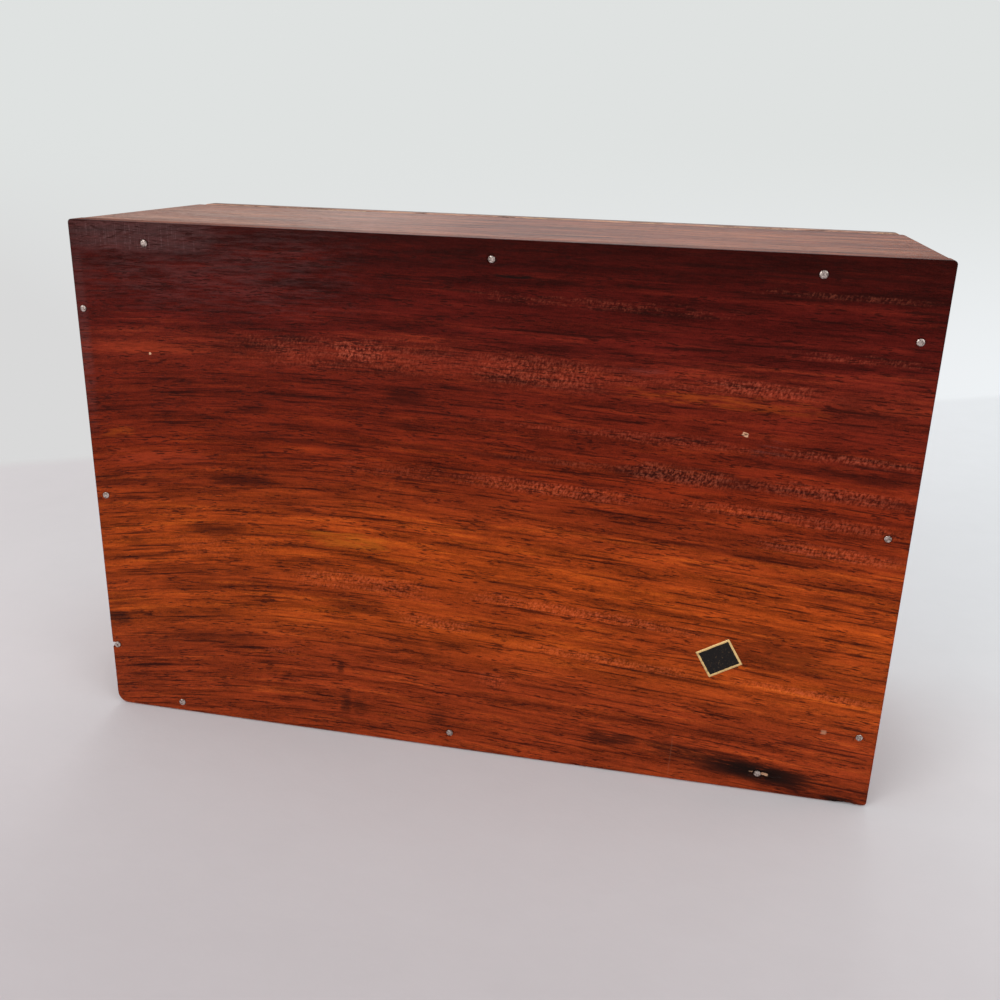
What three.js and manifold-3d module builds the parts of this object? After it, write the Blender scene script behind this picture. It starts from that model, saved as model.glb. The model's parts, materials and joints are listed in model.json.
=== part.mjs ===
import * as THREE from 'three';
import { mergeVertices } from 'three/addons/utils/BufferGeometryUtils.js';
import Module from 'manifold-3d';

// A hardwood trinket box with a carved lid on two small brass hinges, in millimetres.
// The origin is the middle of the underside, +X runs along the box, +Y points to its hinged back
// and +Z points to the lid.

const wasm = await Module();
wasm.setup();

// Body and lid
const boxLength = 230;
const boxDepth = 150;
const wallThickness = 10;
const bottomThickness = 6;
const seamHeight = 76;
const lidThickness = 10;
const lidEdgeRadius = 3;
const cornerRadius = 1.5;
const cornerTongueShare = 0.5;

// Clearances, and how far a cutter runs past the face that it opens
const seamGap = 0.3;
const fastenerGap = 0.2;
const hingeGap = 0.3;
const hingePinGap = 0.2;
const labelGap = 0.3;
const overrun = 2;

// Nails through the bottom panel into the walls
const nailHeadRadius = 1;
const nailHeadThickness = 0.7;
const nailShankRadius = 0.6;
const nailLength = 20;
const nailPointLength = 2;

// Each bottom nail's wall, its place along that wall and its distance in from the outer face,
// as shares of the box's side and of the wall's thickness
const bottomNailShares = [
  { wall: 'back', alongShare: 0.403, insetShare: 0.56 },
  { wall: 'back', alongShare: -0.017, insetShare: 0.51 },
  { wall: 'back', alongShare: -0.371, insetShare: 0.47 },
  { wall: 'left', alongShare: 0.37, insetShare: 0.54 },
  { wall: 'left', alongShare: 0.032, insetShare: 0.56 },
  { wall: 'left', alongShare: -0.358, insetShare: 0.47 },
  { wall: 'front', alongShare: -0.368, insetShare: 0.56 },
  { wall: 'front', alongShare: 0.024, insetShare: 0.5 },
  { wall: 'front', alongShare: 0.403, insetShare: 0.28 },
  { wall: 'right', alongShare: -0.364, insetShare: 0.16 },
  { wall: 'right', alongShare: -0.032, insetShare: 0.3 },
  { wall: 'right', alongShare: 0.338, insetShare: 0.2 },
];

// Hinges, let in flush at the back
const hingeLength = 28;
const hingePlaceShare = 0.3;
const knuckleRadius = 1.5;
const knuckleSunk = 0.1;
const endKnuckleShare = 0.32;
const hingePinRadius = 0.6;
const leafReach = 7.4;
const leafThickness = 0.9;
const hingeNailHeadRadius = 1.1;
const hingeNailShankRadius = 0.5;
const hingeNailLength = 6;
const hingeNailPlaceShare = 0.3;
const bevelMeetAngle = THREE.MathUtils.degToRad(105);

// Foil label on the underside, with its place as shares of the box's length and depth
const labelLength = 10;
const labelWidth = 8.4;
const labelThickness = 0.2;
const labelTurn = THREE.MathUtils.degToRad(-31);
const labelPlaceShares = [-0.307, -0.23];

// Sunk field of the lid and what is carved in it
const borderWidth = 11;
const fieldDepth = 2.6;
const fieldSlope = 1.6;
const fieldCornerRadius = 9;
const carvedRoot = 0.6;
const ringRadius = 35;
const ringHalfWidth = 1.7;
const ringHeight = 1.9;
const bossRadius = 6.5;
const bossHeight = 2.5;
const petalHalfWidth = 6.2;
const petalHeight = 2.3;
const smallPetalHalfWidth = 3;
const smallPetalHeight = 1.5;
const sideFlowerRadius = 15;
const sideBossRadius = 3.2;
const sidePetalHalfWidth = 4.2;
const leafHeight = 2.2;
const stemHalfWidth = 1.1;
const stemHeight = 1.7;

// Shapes of the carved ribs: how far up the rib its sides stop being upright, and how
// blunt and how low a leaf is at its ends
const ribShoulderShare = 0.4;
const leafTipShare = 0.14;
const leafEndHeightShare = 0.55;
const leafBellyPower = 0.8;

// Petals reach from the first to the second share of the ring's or side flower's radius
const petalReachShares = [0.15, 0.86];
const smallPetalReachShares = [0.58, 0.93];
const sidePetalReachShares = [0.16, 1];
const petalCount = 8;
const sidePetalCount = 6;
const sideFlowerPlaceShare = 0.7;

// Stems and leaves of one quarter of the lid, in shares of the field's half length and half
// width. A leaf's half width is a share of its length, and its bend bows it to one side.
const quarterStemShares = [[0.27, 0.34], [0.42, 0.9], [0.66, 0.92], [0.81, 0.64]];
const quarterLeafShares = [
  { from: [0.81, 0.64], to: [0.95, 0.88], half: 0.25, bend: 0 },
  { from: [0.84, 0.6], to: [0.94, 0.27], half: 0.2, bend: 0.12 },
  { from: [0.69, 0.78], to: [0.73, 0.42], half: 0.2, bend: -0.12 },
  { from: [0.52, 0.74], to: [0.56, 0.36], half: 0.2, bend: -0.12 },
  { from: [0.38, 0.66], to: [0.24, 0.89], half: 0.22, bend: 0.14 },
  { from: [0.56, 0.86], to: [0.76, 0.9], half: 0.16, bend: -0.06 },
  { from: [0.03, 0.62], to: [0.16, 0.88], half: 0.24, bend: -0.14 },
  { from: [0.38, 0.1], to: [0.51, 0.3], half: 0.24, bend: 0.12 },
  { from: [0.34, 0.54], to: [0.45, 0.38], half: 0.22, bend: 0.1 },
];
const endLeafShares = [
  { from: [0.37, 0], to: [0.53, 0], half: 0.24, bend: 0 },
  { from: [0.87, 0], to: [0.97, 0], half: 0.26, bend: 0 },
];
const sideLeafShares = [{ from: [0, 0.61], to: [0, 0.91], half: 0.25, bend: 0 }];

// Facet counts
const cornerSteps = 3;
const fieldCornerSteps = 5;
const lidEdgeSteps = 3;
const nailSides = 8;
const hingeSides = 16;
const ringSides = 40;
const bossSides = 12;
const leafSteps = 4;
const stemSteps = 7;

// Sizes that follow from the ones above
const lidTop = seamHeight + lidThickness;
const cornerTongue = wallThickness * cornerTongueShare;
const hingeAxisInset = knuckleRadius + knuckleSunk;
const hingeAxisY = boxDepth / 2 - hingeAxisInset;
const knuckleRoom = knuckleRadius + hingeGap;
const fieldLength = boxLength - 2 * borderWidth;
const fieldWidth = boxDepth - 2 * borderWidth;
const fieldFloor = lidTop - fieldDepth;

const orangeWood = { color: 0x8c3d18, roughness: 0.4, metalness: 0 };
const brownWood = { color: 0x6d3018, roughness: 0.42, metalness: 0 };
const darkWood = { color: 0x5a2314, roughness: 0.42, metalness: 0 };
const brass = { color: 0xb08a3e, roughness: 0.35, metalness: 1 };
const steel = { color: 0x9a9088, roughness: 0.45, metalness: 1 };
const foil = { color: 0x15120e, roughness: 0.3, metalness: 0.2 };

// Turns a closed geometry into a solid that can be cut and joined.
function solidOf(geometry) {
  const bare = geometry.clone();
  bare.deleteAttribute('normal');
  bare.deleteAttribute('uv');
  const merged = mergeVertices(bare);
  return new wasm.Manifold(new wasm.Mesh({
    numProp: 3,
    vertProperties: Float32Array.from(merged.attributes.position.array),
    triVerts: Uint32Array.from(merged.index.array),
  }));
}

// Turns a solid back into a geometry.
function geometryOf(solid) {
  const mesh = solid.getMesh();
  const geometry = new THREE.BufferGeometry();
  geometry.setAttribute('position', new THREE.BufferAttribute(mesh.vertProperties, mesh.numProp));
  geometry.setIndex(new THREE.BufferAttribute(mesh.triVerts, 1));
  geometry.computeVertexNormals();
  return geometry;
}

function cut(geometry, cutters) {
  return geometryOf(cutters.reduce((solid, cutter) => solid.subtract(solidOf(cutter)), solidOf(geometry)));
}

function join(geometries) {
  const [first, ...rest] = geometries;
  return geometryOf(rest.reduce((solid, part) => solid.add(solidOf(part)), solidOf(first)));
}

function named(name, geometry, finish, [x, y, z] = [0, 0, 0]) {
  const mesh = new THREE.Mesh(geometry, new THREE.MeshStandardMaterial(finish));
  mesh.name = name;
  mesh.position.set(x, y, z);
  return mesh;
}

// A closed skin over rings of points that run anticlockwise seen from the last ring.
function loft(rings) {
  const count = rings[0].length;
  const positions = rings.flatMap((ring) => ring.flatMap((point) => point.toArray()));
  const index = [];
  for (let level = 0; level < rings.length - 1; level += 1) {
    for (let side = 0; side < count; side += 1) {
      const next = (side + 1) % count;
      const low = level * count;
      const high = low + count;
      index.push(low + side, low + next, high + next, low + side, high + next, high + side);
    }
  }
  const last = (rings.length - 1) * count;
  for (let side = 1; side < count - 1; side += 1) {
    index.push(0, side + 1, side, last, last + side, last + side + 1);
  }
  const geometry = new THREE.BufferGeometry();
  geometry.setAttribute('position', new THREE.Float32BufferAttribute(positions, 3));
  geometry.setIndex(index);
  return geometry;
}

function block([lowX, highX], [lowY, highY], [lowZ, highZ]) {
  return new THREE.BoxGeometry(highX - lowX, highY - lowY, highZ - lowZ)
    .translate((lowX + highX) / 2, (lowY + highY) / 2, (lowZ + highZ) / 2);
}

// A rod along X between two places on the X axis.
function rodAlongX(radius, [start, end]) {
  return new THREE.CylinderGeometry(radius, radius, end - start, hingeSides)
    .rotateZ(-Math.PI / 2)
    .translate((start + end) / 2, 0, 0);
}

// A profile of [radius, height] points, from the bottom up, turned about the Z axis.
function turned(profile, sides) {
  const points = profile.map(([radius, height]) => new THREE.Vector2(radius, height));
  return new THREE.LatheGeometry(points, sides).rotateX(Math.PI / 2);
}

// One level of a rectangle with round corners, anticlockwise seen from above.
function rectangleRing(length, width, radius, height, steps) {
  const ring = [];
  [[1, 1], [-1, 1], [-1, -1], [1, -1]].forEach(([signX, signY], corner) => {
    for (let step = 0; step <= steps; step += 1) {
      const angle = (corner + step / steps) * Math.PI / 2;
      ring.push(new THREE.Vector3(
        signX * (length / 2 - radius) + radius * Math.cos(angle),
        signY * (width / 2 - radius) + radius * Math.sin(angle),
        height));
    }
  });
  return ring;
}

// The box's footprint, drawn in by the given inset.
function footprintRing(inset, height) {
  return rectangleRing(boxLength - 2 * inset, boxDepth - 2 * inset, cornerRadius, height, cornerSteps);
}

// Bottom nails

function bottomNails() {
  const places = {
    back: (along, inset) => [along * boxLength, boxDepth / 2 - inset],
    front: (along, inset) => [along * boxLength, inset - boxDepth / 2],
    left: (along, inset) => [inset - boxLength / 2, along * boxDepth],
    right: (along, inset) => [boxLength / 2 - inset, along * boxDepth],
  };
  return bottomNailShares.map(({ wall, alongShare, insetShare }) => {
    const [x, y] = places[wall](alongShare, insetShare * wallThickness);
    return { wall, x, y };
  });
}

// The nail itself, or with a gap and a mouth below the panel the hole that it sits in.
function bottomNail(gap = 0, mouth = 0) {
  return turned([
    [0, -mouth],
    [nailHeadRadius + gap, -mouth],
    [nailHeadRadius + gap, nailHeadThickness + gap],
    [nailShankRadius + gap, nailHeadThickness + gap],
    [nailShankRadius + gap, nailLength - nailPointLength + gap],
    [0, nailLength + gap],
  ], nailSides);
}

function bottomNailHoles(walls) {
  return bottomNails()
    .filter((nail) => walls.includes(nail.wall))
    .map(({ x, y }) => bottomNail(fastenerGap, overrun).translate(x, y, 0));
}

// Bottom panel and foil label

function labelPlate(gap, levels) {
  const halfLength = labelLength / 2 + gap;
  const halfWidth = labelWidth / 2 + gap;
  return block([-halfLength, halfLength], [-halfWidth, halfWidth], levels)
    .rotateZ(labelTurn)
    .translate(labelPlaceShares[0] * boxLength, labelPlaceShares[1] * boxDepth, 0);
}

function bottomPanel() {
  const board = loft([footprintRing(0, 0), footprintRing(0, bottomThickness)]);
  const labelBed = labelPlate(labelGap, [-overrun, labelThickness]);
  return cut(board, [...bottomNailHoles(['back', 'front', 'left', 'right']), labelBed]);
}

// Walls

// A long wall laps over the end walls with a thin tongue at each end. The turn is half a
// circle for the front wall.
function longWall(turn) {
  const innerX = boxLength / 2 - wallThickness;
  const innerY = boxDepth / 2 - wallThickness;
  const tongueY = boxDepth / 2 - cornerTongue;
  const farX = boxLength / 2 + overrun;
  const farY = boxDepth / 2 + overrun;
  const outline = new THREE.Shape([
    [farX, farY], [-farX, farY], [-farX, tongueY], [-innerX, tongueY],
    [-innerX, innerY], [innerX, innerY], [innerX, tongueY], [farX, tongueY],
  ].map(([x, y]) => new THREE.Vector2(x, y)));
  const region = new THREE.ExtrudeGeometry(outline, { depth: seamHeight, bevelEnabled: false })
    .rotateZ(turn);
  const body = loft([footprintRing(0, bottomThickness), footprintRing(0, seamHeight - seamGap / 2)]);
  return geometryOf(solidOf(body).intersect(solidOf(region)));
}

function frontWall() {
  return cut(longWall(Math.PI), bottomNailHoles(['front']));
}

function backWall() {
  const hingeRooms = hingePlaces().flatMap((place) => hingeRoom('body', place));
  return cut(longWall(0), [...bottomNailHoles(['back']), backBevel('body'), ...hingeRooms]);
}

function endWall(wall) {
  const innerX = boxLength / 2 - wallThickness;
  const tongueY = boxDepth / 2 - cornerTongue;
  const spanX = wall === 'right' ? [innerX, boxLength / 2] : [-boxLength / 2, -innerX];
  const board = block(spanX, [-tongueY, tongueY], [bottomThickness, seamHeight - seamGap / 2]);
  return cut(board, bottomNailHoles([wall]));
}

// What is cut from the body or the lid along the back of the seam. The two bevels lean away
// from the hinges' axis and meet when the lid is fully open, which stops it.
function backBevel(side) {
  const direction = side === 'lid' ? 1 : -1;
  const reach = hingeAxisInset + overrun;
  const rise = reach * Math.tan(bevelMeetAngle / 2);
  const outline = new THREE.Shape([
    [0, 0], [0, -direction * overrun], [reach, -direction * overrun], [reach, direction * rise],
  ].map(([y, z]) => new THREE.Vector2(y, z)));
  const alongX = new THREE.Matrix4().makeBasis(
    new THREE.Vector3(0, 1, 0), new THREE.Vector3(0, 0, 1), new THREE.Vector3(1, 0, 0));
  const length = boxLength + 2 * overrun;
  return new THREE.ExtrudeGeometry(outline, { depth: length, bevelEnabled: false })
    .applyMatrix4(alongX)
    .translate(-length / 2, hingeAxisY, seamHeight + direction * seamGap / 2);
}

// Hinges, each drawn about the middle of its pin

function hingePlaces() {
  return [-1, 1].map((side) => [side * hingePlaceShare * boxLength, hingeAxisY, seamHeight]);
}

// A leaf lies against the seam, below it in the body and above it in the lid.
function leafLevels(side) {
  return side === 'body'
    ? [-seamGap / 2 - leafThickness, -seamGap / 2]
    : [seamGap / 2, seamGap / 2 + leafThickness];
}

// The body's leaf holds the two end knuckles and the lid's leaf the middle one.
function knuckleSpans(side) {
  const half = hingeLength / 2;
  const inner = half - hingeLength * endKnuckleShare;
  return side === 'body' ? [[-half, -inner], [inner, half]] : [[hingeGap - inner, inner - hingeGap]];
}

// The nail of a leaf, or with a gap and a mouth the hole that it sits in. It points down in
// the body and up in the lid.
function hingeNail(side, gap = 0, mouth = 0) {
  const face = side === 'body' ? -seamGap / 2 : seamGap / 2;
  const direction = side === 'body' ? -1 : 1;
  const opening = mouth > 0 ? [[0, -mouth], [hingeNailHeadRadius + gap, -mouth]] : [[0, 0]];
  const profile = [
    ...opening,
    [hingeNailHeadRadius + gap, 0],
    [hingeNailShankRadius + gap, leafThickness],
    [hingeNailShankRadius + gap, hingeNailLength + gap],
    [0, hingeNailLength + gap],
  ].map(([radius, depth]) => [radius, face + direction * depth]);
  return turned(side === 'body' ? profile.reverse() : profile, nailSides);
}

// Where a leaf's two nails stand, from the middle of the hinge's pin.
function hingeNailPlaces() {
  const y = -(leafReach + knuckleRoom) / 2;
  return [-1, 1].map((end) => [end * hingeNailPlaceShare * hingeLength, y, 0]);
}

// What is cut from the wall or the lid for one hinge: a bed for the leaf, a round channel
// for the knuckles and two nail holes.
function hingeRoom(side, place) {
  const half = hingeLength / 2 + hingeGap;
  const [low, high] = leafLevels(side);
  const levels = side === 'body' ? [low, high + overrun] : [low - overrun, high];
  const bed = block([-half, half], [-leafReach - hingeGap, 0], levels);
  const channel = rodAlongX(knuckleRoom, [-half, half]);
  const holes = hingeNailPlaces().map((nail) => hingeNail(side, fastenerGap).translate(...nail));
  return [bed, channel, ...holes].map((cutter) => cutter.translate(...place));
}

function hingeLeaf(side) {
  const levels = leafLevels(side);
  const half = hingeLength / 2;
  const plate = block([-half, half], [-leafReach, -knuckleRoom], levels);
  const knuckles = knuckleSpans(side).flatMap((span) => [
    block(span, [-(leafReach + knuckleRoom) / 2, 0], levels),
    rodAlongX(knuckleRadius, span),
  ]);
  const bore = rodAlongX(hingePinRadius + hingePinGap, [-half - overrun, half + overrun]);
  const holes = hingeNailPlaces().map((nail) => hingeNail(side, fastenerGap, overrun).translate(...nail));
  return cut(join([plate, ...knuckles]), [bore, ...holes]);
}

function hingePin() {
  return rodAlongX(hingePinRadius, [-hingeLength / 2, hingeLength / 2]);
}

// Carved lid

function lidBoard() {
  const rings = [footprintRing(0, seamHeight + seamGap / 2)];
  for (let step = 0; step <= lidEdgeSteps; step += 1) {
    const angle = step / lidEdgeSteps * Math.PI / 2;
    const inset = lidEdgeRadius * (1 - Math.cos(angle));
    rings.push(footprintRing(inset, lidTop - lidEdgeRadius * (1 - Math.sin(angle))));
  }
  return loft(rings);
}

// The space above the sunk field, with sloping sides.
function fieldSpace() {
  const levels = [[fieldSlope, fieldFloor], [0, lidTop], [0, lidTop + overrun]];
  return loft(levels.map(([inset, height]) => rectangleRing(
    fieldLength - 2 * inset, fieldWidth - 2 * inset, fieldCornerRadius, height, fieldCornerSteps)));
}

// A raised rib with a ridge along its middle, on a flat curve. halfWidthAt and heightAt give
// its size at each share of the curve.
function rib(curve, steps, halfWidthAt, heightAt) {
  const rings = [];
  for (let step = 0; step <= steps; step += 1) {
    const share = step / steps;
    const middle = curve.getPoint(share);
    const tangent = curve.getTangent(share);
    const across = new THREE.Vector2(-tangent.y, tangent.x).multiplyScalar(halfWidthAt(share));
    const root = fieldFloor - carvedRoot;
    const shoulder = fieldFloor + heightAt(share) * ribShoulderShare;
    const ridge = fieldFloor + heightAt(share);
    rings.push([[-1, root], [1, root], [1, shoulder], [0, ridge], [-1, shoulder]].map(([side, height]) => (
      new THREE.Vector3(middle.x + side * across.x, middle.y + side * across.y, height))));
  }
  return loft(rings);
}

// A pointed leaf between two points, broadest before its middle.
function carvedLeaf(start, end, halfWidth, bend, height) {
  const bow = new THREE.Vector2(start.y - end.y, end.x - start.x).multiplyScalar(bend);
  const middle = start.clone().add(end).multiplyScalar(1 / 2).add(bow);
  const curve = new THREE.QuadraticBezierCurve(start, middle, end);
  const belly = (share) => Math.sin(Math.PI * share ** leafBellyPower);
  const crown = (share) => THREE.MathUtils.lerp(leafEndHeightShare, 1, Math.sin(Math.PI * share));
  return rib(curve, leafSteps,
    (share) => halfWidth * Math.max(leafTipShare, belly(share)), (share) => height * crown(share));
}

// A point of the field from its shares of the half length and half width.
function fieldPoint([alongShare, acrossShare], signX = 1, signY = 1) {
  return new THREE.Vector2(signX * alongShare * fieldLength / 2, signY * acrossShare * fieldWidth / 2);
}

function placedLeaf({ from, to, half, bend }, signX, signY) {
  const start = fieldPoint(from, signX, signY);
  const end = fieldPoint(to, signX, signY);
  return carvedLeaf(start, end, half * start.distanceTo(end), signX * signY * bend, leafHeight);
}

function placedStem(signX, signY) {
  const points = quarterStemShares.map((shares) => fieldPoint(shares, signX, signY));
  const curve = new THREE.CubicBezierCurve(...points);
  return rib(curve, stemSteps, () => stemHalfWidth, () => stemHeight);
}

// Petals in a circle. The turn is a share of the step from one petal to the next.
function petals(centreX, radius, reachShares, halfWidth, height, count, turn) {
  return Array.from({ length: count }, (_, petal) => {
    const angle = (petal + turn) / count * 2 * Math.PI;
    const direction = new THREE.Vector2(Math.cos(angle), Math.sin(angle));
    const [start, end] = reachShares.map((share) => (
      new THREE.Vector2(centreX, 0).addScaledVector(direction, share * radius)));
    return carvedLeaf(start, end, halfWidth, 0, height);
  });
}

function boss(centreX, radius) {
  const root = fieldFloor - carvedRoot;
  const shoulder = fieldFloor + bossHeight * ribShoulderShare;
  const top = fieldFloor + bossHeight;
  const crown = THREE.MathUtils.lerp(shoulder, top, Math.SQRT1_2);
  return turned([
    [0, root], [radius, root], [radius, shoulder], [radius * Math.SQRT1_2, crown], [0, top],
  ], bossSides).translate(centreX, 0, 0);
}

function ring() {
  const root = fieldFloor - carvedRoot;
  const shoulder = fieldFloor + ringHeight * ribShoulderShare;
  const profile = [
    [-1, root], [1, root], [1, shoulder], [0, fieldFloor + ringHeight], [-1, shoulder], [-1, root],
  ].map(([side, height]) => [ringRadius + side * ringHalfWidth, height]);
  return turned(profile, ringSides);
}

function centreFlower() {
  return [
    ring(),
    ...petals(0, ringRadius, smallPetalReachShares, smallPetalHalfWidth, smallPetalHeight, petalCount, 1 / 2),
    ...petals(0, ringRadius, petalReachShares, petalHalfWidth, petalHeight, petalCount, 0),
    boss(0, bossRadius),
  ];
}

function sideFlower(signX) {
  const centreX = signX * sideFlowerPlaceShare * fieldLength / 2;
  const size = [sideFlowerRadius, sidePetalReachShares, sidePetalHalfWidth, petalHeight];
  return [...petals(centreX, ...size, sidePetalCount, 1 / 2), boss(centreX, sideBossRadius)];
}

function foliage() {
  const quarters = [[1, 1], [-1, 1], [-1, -1], [1, -1]].flatMap(([signX, signY]) => [
    placedStem(signX, signY),
    ...quarterLeafShares.map((leaf) => placedLeaf(leaf, signX, signY)),
  ]);
  const middles = [1, -1].flatMap((sign) => [
    ...endLeafShares.map((leaf) => placedLeaf(leaf, sign, 1)),
    ...sideLeafShares.map((leaf) => placedLeaf(leaf, 1, sign)),
  ]);
  return [...quarters, ...middles];
}

function carvedLid() {
  const hingeRooms = hingePlaces().flatMap((place) => hingeRoom('lid', place));
  const board = cut(lidBoard(), [fieldSpace(), backBevel('lid'), ...hingeRooms]);
  return join([board, ...centreFlower(), ...sideFlower(1), ...sideFlower(-1), ...foliage()]);
}

// Assembly

function bodyGroup() {
  const group = new THREE.Group();
  group.add(
    named('bottom_panel', bottomPanel(), orangeWood),
    named('front_wall', frontWall(), brownWood),
    named('back_wall', backWall(), brownWood),
    named('left_wall', endWall('left'), darkWood),
    named('right_wall', endWall('right'), darkWood),
    named('foil_label', labelPlate(0, [0, labelThickness]), foil),
  );
  bottomNails().forEach(({ x, y }, number) => {
    group.add(named(`bottom_nail_${number + 1}`, bottomNail(), steel, [x, y, 0]));
  });
  return group;
}

function hingeGroup(name, side, place) {
  const group = new THREE.Group();
  group.position.set(...place);
  group.add(named(`${name}_hinge_${side}_leaf`, hingeLeaf(side), brass));
  hingeNailPlaces().forEach((nail, number) => {
    group.add(named(`${name}_hinge_${side}_nail_${number + 1}`, hingeNail(side), brass, nail));
  });
  if (side === 'body') {
    group.add(named(`${name}_hinge_pin`, hingePin(), brass));
  }
  return group;
}

const box = new THREE.Group();
const body = bodyGroup();
const lid = new THREE.Group();
lid.add(named('lid_board', carvedLid(), brownWood));
['left', 'right'].forEach((name, number) => {
  const place = hingePlaces()[number];
  body.add(hingeGroup(name, 'body', place));
  lid.add(hingeGroup(name, 'lid', place));
});
box.add(body, lid);

export default box;
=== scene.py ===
"""A hardwood trinket box with a carved lid, dressed for rendering.

The box stands on its front wall with its nailed bottom panel towards the camera. In the frame +X
runs along the box, +Y points to its hinged back and +Z points to the lid. Sizes are in metres
where they shape a mesh, and in millimetres where they shape the figure of the wood.
"""

import json
import logging
import math
from collections.abc import Callable, Iterable, Iterator, Sequence
from contextlib import contextmanager
from dataclasses import dataclass, field
from enum import Enum

import bmesh
import bpy
import numpy as np
from mathutils import Matrix, Vector


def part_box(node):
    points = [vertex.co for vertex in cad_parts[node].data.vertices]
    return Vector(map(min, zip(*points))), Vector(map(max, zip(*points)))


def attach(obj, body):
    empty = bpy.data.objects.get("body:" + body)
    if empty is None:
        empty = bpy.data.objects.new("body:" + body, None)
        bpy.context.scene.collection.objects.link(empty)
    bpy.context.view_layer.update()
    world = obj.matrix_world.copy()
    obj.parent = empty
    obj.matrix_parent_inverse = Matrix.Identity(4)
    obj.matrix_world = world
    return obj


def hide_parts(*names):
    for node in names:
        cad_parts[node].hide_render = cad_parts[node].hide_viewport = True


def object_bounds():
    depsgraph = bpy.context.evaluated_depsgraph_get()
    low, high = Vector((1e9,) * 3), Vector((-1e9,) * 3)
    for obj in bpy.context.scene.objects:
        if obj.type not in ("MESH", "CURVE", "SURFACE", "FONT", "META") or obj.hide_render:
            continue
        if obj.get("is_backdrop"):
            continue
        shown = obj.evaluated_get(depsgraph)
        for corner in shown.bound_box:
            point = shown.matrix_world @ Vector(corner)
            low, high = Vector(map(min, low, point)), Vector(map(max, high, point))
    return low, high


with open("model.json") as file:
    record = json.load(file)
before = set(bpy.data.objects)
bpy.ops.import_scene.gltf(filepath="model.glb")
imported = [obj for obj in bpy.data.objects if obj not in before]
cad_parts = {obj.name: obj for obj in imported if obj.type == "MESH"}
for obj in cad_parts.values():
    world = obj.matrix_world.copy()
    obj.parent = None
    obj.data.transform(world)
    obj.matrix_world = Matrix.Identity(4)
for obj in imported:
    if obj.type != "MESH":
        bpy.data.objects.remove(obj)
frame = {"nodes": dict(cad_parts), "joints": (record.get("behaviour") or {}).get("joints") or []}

MM = 0.001
TINY = 0.01 * MM
LOG = logging.getLogger("trinket_box")

Colour = tuple[float, float, float]
Point = tuple[float, float, float]
Pair = tuple[float, float]
Profile = Sequence[Pair]
Piece = bpy.types.Object
Material = bpy.types.Material


class Body(Enum):
    """The bodies that pieces ride on."""

    BOX = "box_body"
    LID = "lid"


class Slot(Enum):
    """The record's material slots."""

    PANEL = "panel_wood"
    WALL = "wall_wood"
    LID = "lid_wood"
    NAIL = "nail_steel"
    HINGE = "hinge_brass"
    LABEL = "label_foil"


def srgb(red: int, green: int, blue: int) -> Colour:
    """Turns a colour as a screen shows it, 0 to 255, into the linear one that a shader takes."""
    return tuple(share / 12.92 if share <= 0.04045 else ((share + 0.055) / 1.055) ** 2.4
                 for share in (red / 255, green / 255, blue / 255))


def opaque(colour: Colour) -> tuple[float, float, float, float]:
    """Adds the alpha of 1 that a colour socket takes."""
    return (*colour, 1.0)


# Node trees


def arithmetic(operation: str, swapped: bool = False
               ) -> Callable[["Signal", "Number"], "Signal"]:
    """Makes one of a signal's operators.

    Args:
        operation: What its Math node does.
        swapped: Whether the signal stands on the right of it.

    Returns:
        The operator.
    """

    def operator(signal: "Signal", other: "Number") -> "Signal":
        """Adds the Math node."""
        pair = (other, signal) if swapped else (signal, other)
        return signal.graph.math(operation, *pair)

    return operator


class Signal:
    """A number in a node tree. Plain arithmetic on it adds Math nodes."""

    __add__, __radd__ = arithmetic("ADD"), arithmetic("ADD", True)
    __sub__, __rsub__ = arithmetic("SUBTRACT"), arithmetic("SUBTRACT", True)
    __mul__, __rmul__ = arithmetic("MULTIPLY"), arithmetic("MULTIPLY", True)
    __truediv__, __rtruediv__ = arithmetic("DIVIDE"), arithmetic("DIVIDE", True)
    __pow__ = arithmetic("POWER")

    def __init__(self, graph: "Graph", socket: bpy.types.NodeSocket) -> None:
        """Takes a socket and the tree that it is in."""
        self.graph = graph
        self.socket = socket


Number = float | Signal
Places = tuple[Signal, Signal, Signal]


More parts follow.
